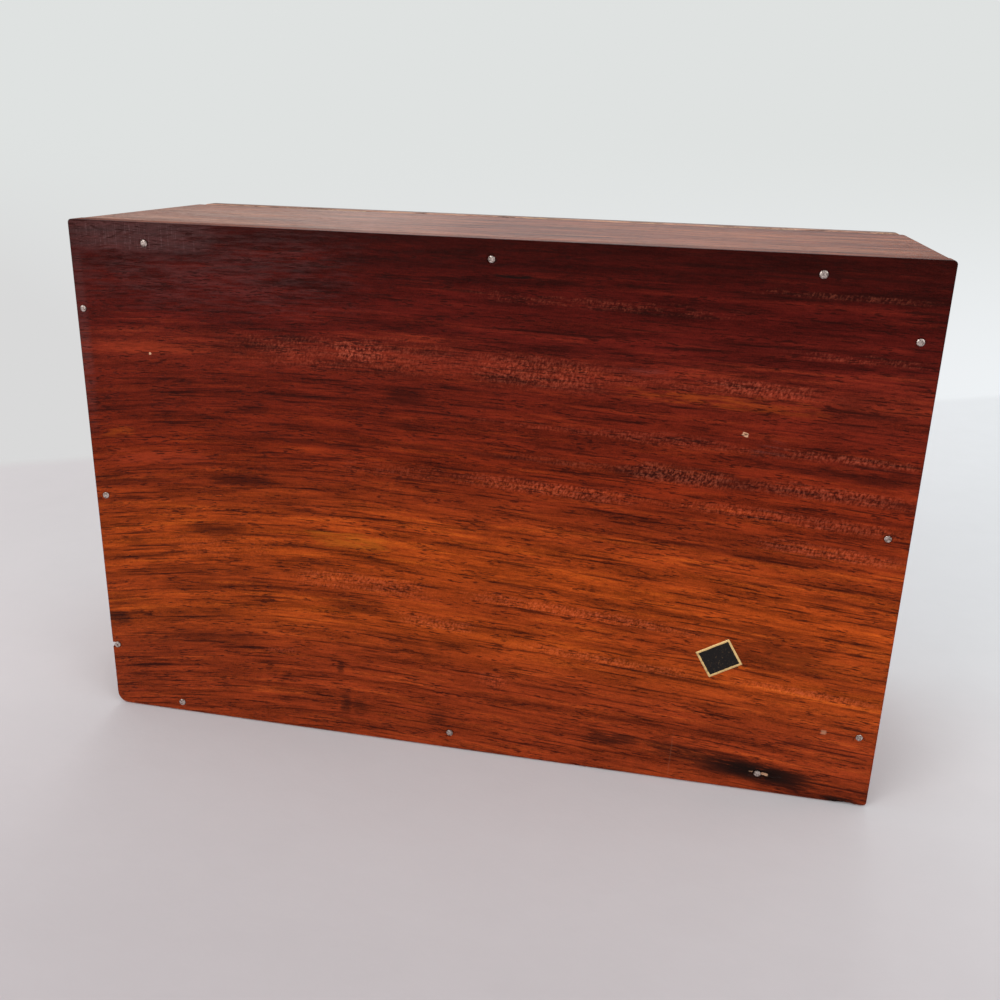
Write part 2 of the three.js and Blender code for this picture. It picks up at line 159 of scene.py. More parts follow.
class Graph:
    """Adds nodes to one node tree with short calls."""

    def __init__(self, tree: bpy.types.NodeTree) -> None:
        """Takes the tree that the nodes go in."""
        self.tree = tree

    def node(self, kind: str, **settings: object) -> bpy.types.Node:
        """Adds one node.

        Args:
            kind: The node's type name.
            **settings: Its properties.

        Returns:
            The new node.
        """
        made = self.tree.nodes.new(kind)
        for name, value in settings.items():
            setattr(made, name, value)
        return made

    def feed(self, socket: bpy.types.NodeSocket, value: object) -> None:
        """Links a signal to a socket, or sets the socket's own value.

        Args:
            socket: The socket.
            value: The signal or the value.
        """
        if isinstance(value, Signal):
            self.tree.links.new(value.socket, socket)
        else:
            socket.default_value = value

    def apply(self, kind: str, values: dict, output: int | str = 0, **settings: object) -> Signal:
        """Adds a node, feeds its inputs and gives one of its outputs.

        Args:
            kind: The node's type.
            values: What each input takes, by its name or number.
            output: The output to give.
            **settings: The node's properties.

        Returns:
            The output as a signal.
        """
        made = self.node(kind, **settings)
        for name, value in values.items():
            self.feed(made.inputs[name], value)
        return Signal(self, made.outputs[output])

    def math(self, operation: str, *values: Number) -> Signal:
        """Adds a Math node."""
        return self.apply("ShaderNodeMath", dict(enumerate(values)), operation=operation)

    def most(self, first: Number, second: Number) -> Signal:
        """Gives the larger of two numbers."""
        return self.math("MAXIMUM", first, second)

    def least(self, first: Number, second: Number) -> Signal:
        """Gives the smaller of two numbers."""
        return self.math("MINIMUM", first, second)

    def limit(self, value: Number, low: float, high: float) -> Signal:
        """Holds a number between two others."""
        return self.least(self.most(value, low), high)

    def vector_math(self, operation: str, *values: object, output: int = 0) -> Signal:
        """Adds a Vector Math node."""
        inputs = dict(enumerate(values))
        return self.apply("ShaderNodeVectorMath", inputs, output, operation=operation)

    def scaled(self, vector: Signal, factor: Number) -> Signal:
        """Scales a vector or a colour."""
        values = {0: vector, "Scale": factor}
        return self.apply("ShaderNodeVectorMath", values, operation="SCALE")

    def combine(self, x: Number, y: Number, z: Number) -> Signal:
        """Makes a vector of three numbers."""
        return self.apply("ShaderNodeCombineXYZ", {0: x, 1: y, 2: z})

    def split(self, vector: Signal) -> Places:
        """Gives the three numbers of a vector."""
        made = self.apply("ShaderNodeSeparateXYZ", {0: vector}).socket.node
        return tuple(Signal(self, socket) for socket in made.outputs)

    def smooth(self, value: Number, low: float, high: float) -> Signal:
        """Goes smoothly from 0 where the value is low to 1 where it is high."""
        values = {0: value, 1: low, 2: high}
        return self.apply("ShaderNodeMapRange", values, interpolation_type="SMOOTHSTEP")

    def span(self, value: Number, low: float, high: float, start: float, end: float) -> Signal:
        """Maps low to high onto start to end in a straight line, and holds beyond them."""
        return self.apply("ShaderNodeMapRange", {0: value, 1: low, 2: high, 3: start, 4: end})

    def noise(self, vector: Signal, detail: float = 2, roughness: float = 0.5) -> Signal:
        """Adds smooth noise from 0 to 1, one cell to a unit of the vector."""
        values = {"Vector": vector, "Scale": 1.0, "Detail": detail, "Roughness": roughness}
        return self.apply("ShaderNodeTexNoise", values)

    def mix(self, share: Number, first: object, second: object, blend: str = "MIX") -> Signal:
        """Mixes two colours.

        Args:
            share: How much of the second one shows, 0 to 1.
            first: A colour or a signal.
            second: A colour or a signal.
            blend: How they mix.

        Returns:
            The mixed colour.
        """
        values = {0: share, 6: first, 7: second}
        values = {key: opaque(value) if isinstance(value, tuple) else value
                  for key, value in values.items()}
        return self.apply("ShaderNodeMix", values, 2, data_type="RGBA", blend_type=blend)


class Paint(Graph):
    """The node tree of one material round a Principled shader."""

    def __init__(self, name: str, **values: object) -> None:
        """Starts the material.

        Args:
            name: Its name.
            **values: What the shader's inputs take.
        """
        self.material = bpy.data.materials.new(name)
        self.material.use_nodes = True
        super().__init__(self.material.node_tree)
        self.tree.nodes.clear()
        self.shader = self.node("ShaderNodeBsdfPrincipled")
        self.surface = self.node("ShaderNodeOutputMaterial").inputs["Surface"]
        self.feed(self.surface, Signal(self, self.shader.outputs[0]))
        self.set(**values)

    def set(self, **values: object) -> None:
        """Feeds the shader's inputs, named with underscores for spaces."""
        for name, value in values.items():
            self.feed(self.shader.inputs[name.replace("_", " ")], value)

    def place(self) -> Signal:
        """Gives the place on the piece in the frame, in metres."""
        return self.apply("ShaderNodeTexCoord", {}, "Object")

    def ramp(self, value: Number, stops: Sequence[tuple[float, Colour]]) -> Signal:
        """Colours a number.

        Args:
            value: The number, from 0 to 1.
            stops: Places on the way from 0 to 1, each with its colour.

        Returns:
            The colour.
        """
        ramp = self.apply("ShaderNodeValToRGB", {0: value})
        elements = ramp.socket.node.color_ramp.elements
        while len(elements) < len(stops):
            elements.new(1.0)
        for element, (position, colour) in zip(elements, stops):
            element.position = position
            element.color = opaque(colour)
        return ramp

    def bump(self, height: Number, distance: float, strength: float = 1.0) -> None:
        """Raises the surface by a height from 0 to 1 over a distance in metres."""
        values = {"Height": height, "Distance": distance, "Strength": strength}
        self.set(Normal=self.apply("ShaderNodeBump", values))


# Finishes


@dataclass(frozen=True)
class Grain:
    """How a board lies in its wood.

    along, across and depth are unit axes of the frame, and origin is the point, in metres, from
    which they measure.
    """

    along: Point
    across: Point
    depth: Point
    origin: Point = (0.0, 0.0, 0.0)

    def measure(self, paint: Paint) -> Places:
        """Measures each place of a material.

        Args:
            paint: The material's tree.

        Returns:
            The three distances in millimetres.
        """
        offset = paint.vector_math("SUBTRACT", paint.place(), self.origin)
        axes = [tuple(part / MM for part in axis) for axis in (self.along, self.across, self.depth)]
        return tuple(paint.vector_math("DOT_PRODUCT", offset, axis, output=1) for axis in axes)


@dataclass(frozen=True)
class Layer:
    """One scale of a wood's figure.

    along and across are the size of its cells in millimetres, low and high are the part of the
    noise that shows, and strength is how much of it shows. slant leans the cells over.
    """

    along: float
    across: float
    low: float
    high: float
    strength: float = 1.0
    detail: float = 2.0
    roughness: float = 0.5
    slant: float = 0.0

    def noise(self, paint: Paint, places: Places) -> Signal:
        """Gives the layer's noise.

        Args:
            paint: The material's tree.
            places: Distance along the grain, across it and into the board.

        Returns:
            Noise that stays round 0.5.
        """
        along, line, depth = places
        run = along / self.along
        if self.slant:
            run = run + line * (self.slant / self.across)
        cells = paint.combine(run, line / self.across, depth / self.across)
        return paint.noise(cells, self.detail, self.roughness)

    def read(self, paint: Paint, places: Places) -> Signal:
        """Gives the layer's strength at each place."""
        return paint.smooth(self.noise(paint, places), self.low, self.high) * self.strength


class Ink(Enum):
    """What a mark on a board does to its wood."""

    RED = "red wood"
    AMBER = "orange wood"
    GOLD = "golden wood"
    DARK = "dark heartwood"
    # Cross flecks: partly the wood's ribbon figure, partly painted sheen, with painted shade
    # between the flecks.
    RIBBON = "light cross flecks"
    FLECK = "light and dark cross flecks"
    # Partly a dull film on the varnish, partly painted glare: a grey haze of reflected light, with
    # painted glints along its scratches.
    FILM = "dull grey film"
    # Black stains, and painted shade in the chipped notch of the bottom panel.
    STAIN = "black stain"
    PALE = "pale dab"


@dataclass(frozen=True)
class Arch:
    """The shallow arch of the grain on a board, in millimetres.

    The lines fall to both sides of the crest, less near the board's first edge.
    """

    crest: float
    fall_before: float
    fall_after: float
    length: float
    flat_at: float
    full_at: float
    flat_share: float
    bend: float = 1.3

    def fall(self, along: Number, larger: Callable[[Number, float], Number]) -> Number:
        """Gives how far a line has fallen from its crest, where the arch is full.

        Args:
            along: Distance along the grain.
            larger: What gives the larger of two numbers.

        Returns:
            The fall.
        """
        before = larger(1 - along / self.crest, 0.0) ** 2 * self.fall_before
        share = larger((along - self.crest) / (self.length - self.crest), 0.0)
        return before + share ** self.bend * self.fall_after

    def line(self, paint: Paint, along: Signal, across: Signal) -> Signal:
        """Gives the height at the crest of the grain line that passes each place."""
        grown = paint.span(across, self.flat_at, self.full_at, self.flat_share, 1.0)
        return across - self.fall(along, paint.most) * grown

    def line_at(self, along: float, across: float) -> float:
        """Gives the same height for one place."""
        share = min(max((across - self.flat_at) / (self.full_at - self.flat_at), 0.0), 1.0)
        return across - self.fall(along, max) * (self.flat_share + (1 - self.flat_share) * share)


@dataclass(frozen=True)
class Mark:
    """One soft oval mark on a board, in millimetres.

    It is given by where it starts and ends along the grain and across it. A mark that follows the
    grain bends with its lines and has broken edges, and one that does not lies on the surface.
    """

    ink: Ink
    along: Pair
    across: Pair
    strength: float = 1.0
    follows: bool = True
    turn: float = 0.0
    growth: float = 1.35
    core: float = 0.0

    def read(self, paint: Paint, place: Signal, arch: Arch | None) -> Signal:
        """Gives the mark's strength at each place.

        Args:
            paint: The material's tree.
            place: Distance along the grain and across it, as a flat vector.
            arch: The arch that the mark bends with.

        Returns:
            The strength.
        """
        middle = [(start + end) / 2 for start, end in (self.along, self.across)]
        half = [(end - start) / 2 * self.growth for start, end in (self.along, self.across)]
        if self.follows and arch:
            middle[1] = arch.line_at(*middle)
        offset = paint.vector_math("SUBTRACT", place, (*middle, 0.0))
        if self.turn:
            cosine, sine = math.cos(math.radians(self.turn)), math.sin(math.radians(self.turn))
            axes = ((cosine / half[0], sine / half[0], 0.0),
                    (-sine / half[1], cosine / half[1], 0.0))
            parts = [paint.vector_math("DOT_PRODUCT", offset, axis, output=1) for axis in axes]
            local = paint.combine(*parts, 0.0)
        else:
            local = paint.vector_math("MULTIPLY", offset, (1 / half[0], 1 / half[1], 0.0))
        squared = paint.vector_math("MULTIPLY", local, local)
        distance = paint.vector_math("LENGTH", squared, output=1)
        return paint.smooth(distance, 1.0, self.core) * self.strength


@dataclass(frozen=True)
class Rosewood:
    """Varnished rosewood: bands of tone, dark lines, fibres, pores and ribbon figure, whose light
    flecks are partly painted sheen and whose dark ones partly painted shade.

    tones colour the board across its grain, over the span that tone_span gives in millimetres.
    low and high are the board's corners in metres, whose edges are worn dark.
    """

    name: str
    grain: Grain
    low: Point
    high: Point
    tones: tuple[tuple[float, Colour], ...]
    tone_span: Pair
    arch: Arch | None = None
    marks: tuple[Mark, ...] = ()
    along_tone: Pair = (1.0, 1.0)
    seed: float = 0.0
    dark: Colour = srgb(38, 9, 6)
    warmth: Colour = (1.7, 2.1, 1.6)
    # Colour of the light cross flecks, partly painted sheen.
    ribbon_sheen: Colour = srgb(142, 74, 54)
    red: Colour = srgb(150, 54, 28)
    amber: Colour = srgb(172, 76, 22)
    gold: Colour = srgb(166, 92, 22)
    # Partly the grey of a dull film, partly painted glare.
    film_and_glare: Colour = srgb(112, 84, 84)
    # Colour of black stains and of the notch's painted shade, also what carved-down wood darkens
    # towards.
    stain_and_shade: Colour = srgb(24, 12, 9)
    pale: Colour = srgb(206, 160, 128)
    # How much ribbon figure shows; its flecks are partly painted sheen and shade.
    figure: float = 0.6
    roughness: Pair = (0.34, 0.46)
    gloss: float = 0.08
    rippling: float = 1.0
    arris_dark: float = 0.5
    arris_width: float = 0.45
    sunk: float = 0.0
    sunk_span: Pair = (0.0, 0.0)
    side: Colour | None = None
    worn: Colour = srgb(38, 9, 6)
    swing: float = 0.22
    warp: Layer = Layer(95, 38, 0.0, 1.0, 9.0)
    drift: Layer = Layer(30, 4.2, 0.3, 0.7, 1.0, 5.0, 0.66)
    streaks: Layer = Layer(40, 1.8, 0.0, 1.0, 1.0, 6.0, 0.7)
    lines: Layer = Layer(20, 0.7, 0.54, 0.66, 0.75, 5.0, 0.6)
    fibres: Layer = Layer(2.2, 0.34, 0.28, 0.72, 1.0, 4.0, 0.7)
    pores: Layer = Layer(2.5, 0.34, 0.56, 0.64, 0.75, 1.0)
    pore_places: Layer = Layer(11, 3.0, 0.4, 0.58, 1.0, 4.0, 0.6)
    ribbon_places: Layer = Layer(120, 4.6, 0.54, 0.66, 1.0, 4.0, 0.6)
    flecks: Layer = Layer(0.62, 0.95, 0.22, 0.78, 1.0, 3.0, 0.7, 0.35)
    ripple: Layer = Layer(6, 2.8, 0.3, 0.7, 1.0, 2.0)
    fray: Layer = Layer(7, 0.8, 0.0, 1.0, 1.0, 5.0, 0.68)
    grit: Layer = Layer(0.4, 0.3, 0.3, 0.7, 1.0, 2.0)
    # Scratch lines in the grey marks, partly painted glints.
    scratches_and_glints: Layer = Layer(0.3, 10, 0.54, 0.66, 1.0, 2.0)
    streak_shift: float = 0.1
    streak_shares: Pair = (0.7, 0.75)
    side_span: Pair = (1.1, 1.6)
    plain_level: float = 0.3
    fibre_level: float = 0.4
    drift_level: float = 0.7
    grit_level: float = 0.26
    fleck_level: float = 0.16
    lit_span: Pair = (0.3, 0.95)
    hid_span: Pair = (0.5, 0.15)
    lit_shares: Pair = (0.03, 0.68)
    ribbon_shadow: float = 0.75
    fleck_shadow: float = 1.0
    figure_shadow: float = 0.5
    stray_with_grain: Pair = (9.6, 1.92)
    stray_on_surface: Pair = (5.12, 2.56)
    stray_of_dabs: Pair = (0.96, 0.64)
    skin: Pair = (3.0, 1.0)
    broken: float = 3.0
    broken_span: Pair = (0.05, 0.75)
    fibre_shares: Pair = (0.55, 0.45)
    film_and_glare_shares: Pair = (0.34, 0.45)
    scratch_and_glint_span: Pair = (0.35, 0.8)
    sunk_rise: Pair = (1.0 * MM, 5.0 * MM)
    arris_fray: float = 1.5
    arris_dull: float = 0.9
    dull_film: float = 1.6
    relief: float = 0.06 * MM
    relief_share: float = 0.7
    fibre_relief: float = 0.3
    fleck_relief: float = 0.2

    def make(self) -> Material:
        """Builds the material.

        Returns:
            The material.
        """
        paint = Paint(self.name)
        along, across, depth = self.grain.measure(paint)
        along = along + self.seed
        if self.arch:
            line = self.arch.line(paint, along, across)
        else:
            line = across + self.warp.read(paint, (along, across, depth))
        places = (along, line, depth)
        fleck = self.flecks.read(paint, places)
        fray = self.fray.noise(paint, places) - 0.5
        fibre = self.fibres.read(paint, places)
        pore = self.pores.read(paint, places) * self.pore_places.read(paint, places)
        colour = self.toned(paint, places, fibre, fleck)
        if self.figure:
            share = self.ribbon_places.read(paint, places) * self.figure
            colour = self.ribboned_with_sheen(paint, colour, share, fleck, self.figure_shadow)
        film_and_glare: Number = 0.0
        if self.marks:
            colour, film_and_glare = self.marked(paint, colour, places, across, fibre, fleck, fray)
        colour = paint.mix(pore, colour, self.dark)
        worn = self.arris(paint, fray)
        colour = paint.mix(worn * self.arris_dark, colour, self.worn)
        if self.sunk:
            colour = self.sunken(paint, colour)
        ripple = self.ripple.read(paint, places)
        paint.set(Base_Color=colour,
                  Roughness=paint.span(fibre + film_and_glare, 0.0, self.dull_film, *self.roughness),
                  Specular_IOR_Level=(1 - worn * self.arris_dull) * self.gloss)
        height = fibre * self.fibre_relief - pore + fleck * self.fleck_relief
        paint.bump(height + ripple * self.rippling, self.relief, self.relief_share)
        return paint.material

    def toned(self, paint: Paint, places: Places, fibre: Signal, fleck: Signal) -> Signal:
        """Colours the wood by its bands, lines and fibres.

        Args:
            paint: The material's tree.
            places: Distance along the grain, height of the grain line, distance into the board.
            fibre: The fine fibres.
            fleck: The small cross flecks.

        Returns:
            The colour.
        """
        along, line, depth = places
        drift = self.drift.read(paint, places)
        streak = self.streaks.noise(paint, places)
        start, end = self.tone_span
        share = (line - start) / (end - start) + (streak - 0.5) * self.streak_shift
        colour = paint.ramp(share, self.tones)
        lit = paint.mix(1.0, colour, self.warmth, "MULTIPLY")
        if self.side:
            colour = paint.mix(paint.smooth(depth, *self.side_span), colour, self.side)
        for hue, swing, share in zip((lit, self.dark), (self.swing, -self.swing),
                                     self.streak_shares):
            colour = paint.mix(paint.smooth(streak, 0.5, 0.5 + swing) * share, colour, hue)
        colour = paint.mix(self.lines.read(paint, places), colour, self.dark)
        grit = self.grit.read(paint, places)
        level = (self.plain_level + fibre * self.fibre_level + drift * self.drift_level
                 + grit * self.grit_level + fleck * self.fleck_level)
        length = abs((Vector(self.high) - Vector(self.low)).dot(Vector(self.grain.along))) / MM
        low, high = self.along_tone
        return paint.scaled(colour, level * paint.span(along - self.seed, 0.0, length, low, high))

    def ribboned_with_sheen(self, paint: Paint, colour: Signal, share: Signal, fleck: Signal,
                 shadow: float) -> Signal:
        """Lays light flecks across the grain, with darker wood between them: the flecks are partly
        the wood's figure and partly painted sheen, the dark partly painted shade.

        Args:
            paint: The material's tree.
            colour: The wood so far.
            share: How much of the figure shows.
            fleck: The small cross flecks.
            shadow: How dark the wood between them is.

        Returns:
            The figured colour.
        """
        # Painted sheen and shade: lit flecks add a light colour and the wood between them is
        # darkened.
        lit, hid = paint.smooth(fleck, *self.lit_span), paint.smooth(fleck, *self.hid_span)
        low, high = self.lit_shares
        colour = paint.mix(share * (low + lit * high), colour, self.ribbon_sheen, "ADD")
        return paint.mix(share * hid * shadow, colour, self.dark)

    def marked(self, paint: Paint, colour: Signal, places: Places, across: Signal,
               fibre: Signal, fleck: Signal, fray: Signal) -> tuple[Signal, Signal]:
        """Lays the board's own marks on its wood. Some of them paint light and shade: glare and
        glints in the grey film marks, sheen and shade in the cross flecks, and shade in the stain
        mark over the panel's chipped notch.

        Args:
            paint: The material's tree.
            colour: The wood so far.
            places: Distance along the grain, height of the grain line, distance into the board.
            across: Distance across the board.
            fibre: The fine fibres.
            fleck: The small cross flecks.
            fray: What breaks the marks' edges, round 0.

        Returns:
            The marked colour, and how far the grey film marks dull the surface.
        """
        along, line, depth = places
        with_grain, plain, steady = (
            paint.combine(along + fray * stray[0], height + fray * stray[1], 0.0)
            for height, stray in ((line, self.stray_with_grain), (across, self.stray_on_surface),
                                  (across, self.stray_of_dabs)))
        shares: dict[Ink, Signal] = {}
        for mark in self.marks:
            place = with_grain if mark.follows else steady if mark.ink is Ink.PALE else plain
            share = mark.read(paint, place, self.arch)
            seen = shares.get(mark.ink)
            shares[mark.ink] = paint.most(seen, share) if seen else share
        surface = paint.smooth(depth, *self.skin)
        dim, lit = self.fibre_shares
        for ink, share in shares.items():
            if ink is not Ink.PALE:
                share = share * paint.smooth(share + fray * self.broken, *self.broken_span)
            if ink not in (Ink.PALE, Ink.STAIN):
                share = share * (dim + fibre * lit)
            shares[ink] = share * surface
        for ink, hue in ((Ink.RED, self.red), (Ink.AMBER, self.amber), (Ink.GOLD, self.gold),
                         (Ink.DARK, self.dark)):
            if ink in shares:
                colour = paint.mix(shares[ink], colour, hue)
        for ink, shadow in ((Ink.RIBBON, self.ribbon_shadow), (Ink.FLECK, self.fleck_shadow)):
            if ink in shares:
                colour = self.ribboned_with_sheen(paint, colour, shares[ink], fleck, shadow)
        film_and_glare: Number = 0.0
        if Ink.FILM in shares:
            film_and_glare = shares[Ink.FILM]
            # Painted glare and glints: the grey is partly a dull film and partly reflected light,
            # and the scratch lines in it are partly glints.
            scratch_and_glint = self.scratches_and_glints.read(paint, (along, across, depth))
            scratch_and_glint = scratch_and_glint * paint.smooth(film_and_glare, *self.scratch_and_glint_span)
            veil, scratched_and_glinting = self.film_and_glare_shares
            colour = paint.mix(film_and_glare * (veil + scratch_and_glint * scratched_and_glinting), colour, self.film_and_glare)
        for ink, hue in ((Ink.STAIN, self.stain_and_shade), (Ink.PALE, self.pale)):
            if ink in shares:
                colour = paint.mix(shares[ink], colour, hue)
        return colour, film_and_glare

    def sunken(self, paint: Paint, colour: Signal) -> Signal:
        """Darkens the wood where it is carved down.

        Args:
            paint: The material's tree.
            colour: The wood so far.

        Returns:
            The darkened colour.
        """
        _, _, height = paint.split(paint.place())
        inside = paint.smooth(height, *(self.low[2] + rise for rise in self.sunk_rise))
        low, high = self.sunk_span
        return paint.mix(paint.smooth(height, high, low) * inside * self.sunk, colour, self.stain_and_shade)

    def arris(self, paint: Paint, fray: Signal) -> Signal:
        """Finds the board's edges.

        Args:
            paint: The material's tree.
            fray: What breaks their outline, round 0.

        Returns:
            How near each place is to an edge, from 0 to 1.
        """
        middle = tuple((low + high) / 2 for low, high in zip(self.low, self.high))
        half = tuple((high - low) / 2 / MM for low, high in zip(self.low, self.high))
        offset = paint.vector_math("SUBTRACT", paint.place(), middle)
        inward = paint.vector_math("ABSOLUTE", paint.scaled(offset, 1 / MM))
        x, y, z = paint.split(paint.vector_math("SUBTRACT", half, inward))
        second = paint.most(paint.least(x, y), paint.least(paint.most(x, y), z))
        return paint.smooth(second - fray * self.arris_fray, self.arris_width, 0.0)


@dataclass(frozen=True)
class Metal:
    """Worn metal, brighter where it is rubbed and dull in its pits."""

    name: str
    bright: Colour
    dull: Colour
    roughness: Pair
    cell: float = 0.6
    pit_share: float = 3.0
    pit_span: Pair = (0.58, 0.7)
    cloud_span: Pair = (0.38, 0.66)
    relief: float = 0.03 * MM

    def make(self) -> Material:
        """Builds the material.

        Returns:
            The material.
        """
        paint = Paint(self.name, Metallic=1.0)
        place = paint.scaled(paint.place(), 1 / MM / self.cell)
        cloud = paint.noise(place, 4.0, 0.6)
        pits = paint.smooth(paint.noise(paint.scaled(place, self.pit_share)), *self.pit_span)
        dullness = paint.most(paint.smooth(cloud, *self.cloud_span), pits)
        paint.set(Base_Color=paint.mix(dullness, self.bright, self.dull),
                  Roughness=paint.span(dullness, 0.0, 1.0, *self.roughness))
        paint.bump(1 - pits + cloud * 0.4, self.relief)
        return paint.material


@dataclass(frozen=True)
class Foil:
    """Printed foil: a dark middle inside a dull gold edge, with rubbed spots.

    middle, turn in radians, half length and width, and breadth of the edge are the label's own.
    """

    middle: Point
    turn: float
    half: Pair
    edge: float
    name: str = "label_foil_finish"
    black: Colour = srgb(16, 12, 11)
    gold: Colour = srgb(222, 186, 126)
    rubbed: Colour = srgb(120, 96, 66)
    fray: float = 0.35 * MM
    blur: float = 0.06 * MM
    roughness: Pair = (0.22, 0.45)
    relief: float = 0.03 * MM

    def make(self) -> Material:
        """Builds the material.

        Returns:
            The material.
        """
        paint = Paint(self.name, Specular_IOR_Level=0.25)
        place = paint.place()
        values = {"Vector": place, "Location": self.middle, "Rotation": (0.0, 0.0, self.turn)}
        local = paint.apply("ShaderNodeMapping", values, vector_type="TEXTURE")
        x, y, _ = paint.split(paint.vector_math("ABSOLUTE", local))
        grain = paint.noise(paint.scaled(place, 1.1 / MM), 4.0, 0.6)
        reach_x, reach_y = (half - self.edge for half in self.half)
        inside = paint.least(reach_x - x, reach_y - y) + (grain - 0.5) * self.fray
        black = paint.smooth(inside, -self.blur, self.blur)
        colour = paint.mix(paint.smooth(grain, 0.5, 0.72) * 0.5, self.gold, self.rubbed)
        colour = paint.mix(black, colour, self.black)
        specks = paint.smooth(paint.noise(paint.scaled(place, 3.0 / MM), 1.0), 0.68, 0.74)
        colour = paint.mix(specks * 0.5, colour, self.rubbed)
        paint.set(Base_Color=colour, Metallic=(1 - black) * 0.3,
                  Roughness=paint.span(grain, 0.3, 0.7, *self.roughness))
        paint.bump(grain, self.relief)
        return paint.material


# Meshes


def new_object(name: str, data: bpy.types.ID) -> Piece:
    """Puts a mesh, a camera or a lamp in the scene.

    Args:
        name: The object's name.
        data: What it shows.

    Returns:
        The object.
    """
    made = bpy.data.objects.new(name, data)
    bpy.context.scene.collection.objects.link(made)
    return made


@contextmanager
def edited(mesh: bpy.types.Mesh) -> Iterator[bmesh.types.BMesh]:
    """Opens a mesh for changes and then writes them back to it.

    Args:
        mesh: The mesh.

    Yields:
        The open mesh.
    """
    shell = bmesh.new()
    shell.from_mesh(mesh)
    yield shell
    shell.to_mesh(mesh)
    shell.free()


def from_shell(name: str, shell: bmesh.types.BMesh) -> Piece:
    """Makes an object of a new mesh.

    Args:
        name: The object's name.
        shell: The mesh's faces. They are let go.

    Returns:
        The object.
    """
    mesh = bpy.data.meshes.new(name)
    shell.to_mesh(mesh)
    shell.free()
    return new_object(name, mesh)


def from_faces(name: str, vertices: Iterable[Sequence[float]], faces: Iterable[Sequence[int]] = (),
               edges: Iterable[Sequence[int]] = ()) -> Piece:
    """Makes an object of vertices, faces and loose edges.

    Args:
        name: The object's name.
        vertices: Their places.
        faces: The vertices of each face.
        edges: The vertices of each loose edge.

    Returns:
        The object.
    """
    mesh = bpy.data.meshes.new(name)
    mesh.from_pydata([tuple(vertex) for vertex in vertices], list(edges),
                     [tuple(face) for face in faces])
    mesh.validate()
    return new_object(name, mesh)


def from_node(name: str, node: str) -> Piece:
    """Copies a solid of the frame with its faces joined.

    Args:
        name: The object's name.
        node: The solid's node.

    Returns:
        The object.
    """
    mesh = frame["nodes"][node].data.copy()
    mesh.name = name
    mesh.materials.clear()
    with edited(mesh) as shell:
        bmesh.ops.remove_doubles(shell, verts=shell.verts, dist=TINY)
        bmesh.ops.dissolve_limit(shell, angle_limit=math.radians(1), verts=shell.verts,
                                 edges=shell.edges)
    return new_object(name, mesh)


def baked(source: Piece, name: str) -> Piece:
    """Turns an object with its modifiers into a plain mesh object.

    Args:
        source: The object. It is removed.
        name: The new object's name.

    Returns:
        The new object.
    """
    graph = bpy.context.evaluated_depsgraph_get()
    mesh = bpy.data.meshes.new_from_object(source.evaluated_get(graph), depsgraph=graph)
    bpy.data.objects.remove(source)
    mesh.name = name
    return new_object(name, mesh)


def combined(target: Piece, tools: Iterable[Piece], operation: str) -> Piece:
    """Cuts solids from a solid, or adds them to it.

    Args:
        target: The solid. It is replaced.
        tools: The other solids. They are removed.
        operation: DIFFERENCE or UNION.

    Returns:
        The result, under the target's name.
    """
    tools = list(tools)
    name = target.name
    target.name = f"{name}_raw"
    for tool in tools:
        modifier = target.modifiers.new("tool", "BOOLEAN")
        modifier.operation = operation
        modifier.solver = "EXACT"
        modifier.object = tool
    made = baked(target, name)
    for tool in tools:
        bpy.data.objects.remove(tool)
    return made


def cut(target: Piece, cutters: Iterable[Piece]) -> Piece:
    """Cuts solids from a solid, then merges doubled points and fills the slits that are left.

    Args:
        target: What is cut. It is replaced.
        cutters: What is taken away. They are removed.

    Returns:
        The cut solid, under the target's name.
    """
    made = combined(target, cutters, "DIFFERENCE")
    with edited(made.data) as shell:
        bmesh.ops.remove_doubles(shell, verts=shell.verts, dist=TINY / 10)
        bmesh.ops.dissolve_degenerate(shell, dist=TINY / 10, edges=shell.edges)
        bmesh.ops.holes_fill(shell, edges=open_rim(shell), sides=0)
    return made


def open_rim(shell: bmesh.types.BMesh) -> list[bmesh.types.BMEdge]:
    """Lists the edges where a mesh is open."""
    return [edge for edge in shell.edges if edge.is_boundary]


def joined(name: str, parts: Iterable[Piece]) -> Piece:
    """Joins objects.

    Args:
        name: The new object's name.
        parts: The objects, each with one material. They are removed.

    Returns:
        The object, which keeps each part's material.
    """
    shell = bmesh.new()
    materials: list[Material] = []
    for part in parts:
        start = len(shell.faces)
        shell.from_mesh(part.data)
        shell.faces.ensure_lookup_table()
        material = part.data.materials[0]
        if material not in materials:
            materials.append(material)
        for face in shell.faces[start:]:
            face.material_index = materials.index(material)
        bpy.data.objects.remove(part)
    made = from_shell(name, shell)
    for material in materials:
        made.data.materials.append(material)
    return made


def shade(piece: Piece, angle: float = 35.0) -> Piece:
    """Shades a piece smooth, but sharp where its faces meet at more than the angle.

    Args:
        piece: The piece.
        angle: The angle, in degrees.

    Returns:
        The same piece.
    """
    for polygon in piece.data.polygons:
        polygon.use_smooth = True
    piece.data.set_sharp_from_angle(angle=math.radians(angle))
    return piece


def weighted(piece: Piece, keep_sharp: bool) -> None:
    """Evens out the shading of a piece's large faces."""
    piece.modifiers.new("weighted", "WEIGHTED_NORMAL").keep_sharp = keep_sharp


def soften(piece: Piece, width: float, segments: int = 3, angle: float = 38.0) -> Piece:
    """Eases a piece's edges.

    Args:
        piece: The piece.
        width: How far the easing reaches.
        segments: Its steps.
        angle: The least angle, in degrees, of an edge that is eased.

    Returns:
        The same piece.
    """
    bevel = piece.modifiers.new("eased", "BEVEL")
    bevel.width = width
    bevel.segments = segments
    bevel.limit_method = "ANGLE"
    bevel.angle_limit = math.radians(angle)
    bevel.use_clamp_overlap = True
    shade(piece)
    weighted(piece, False)
    return piece


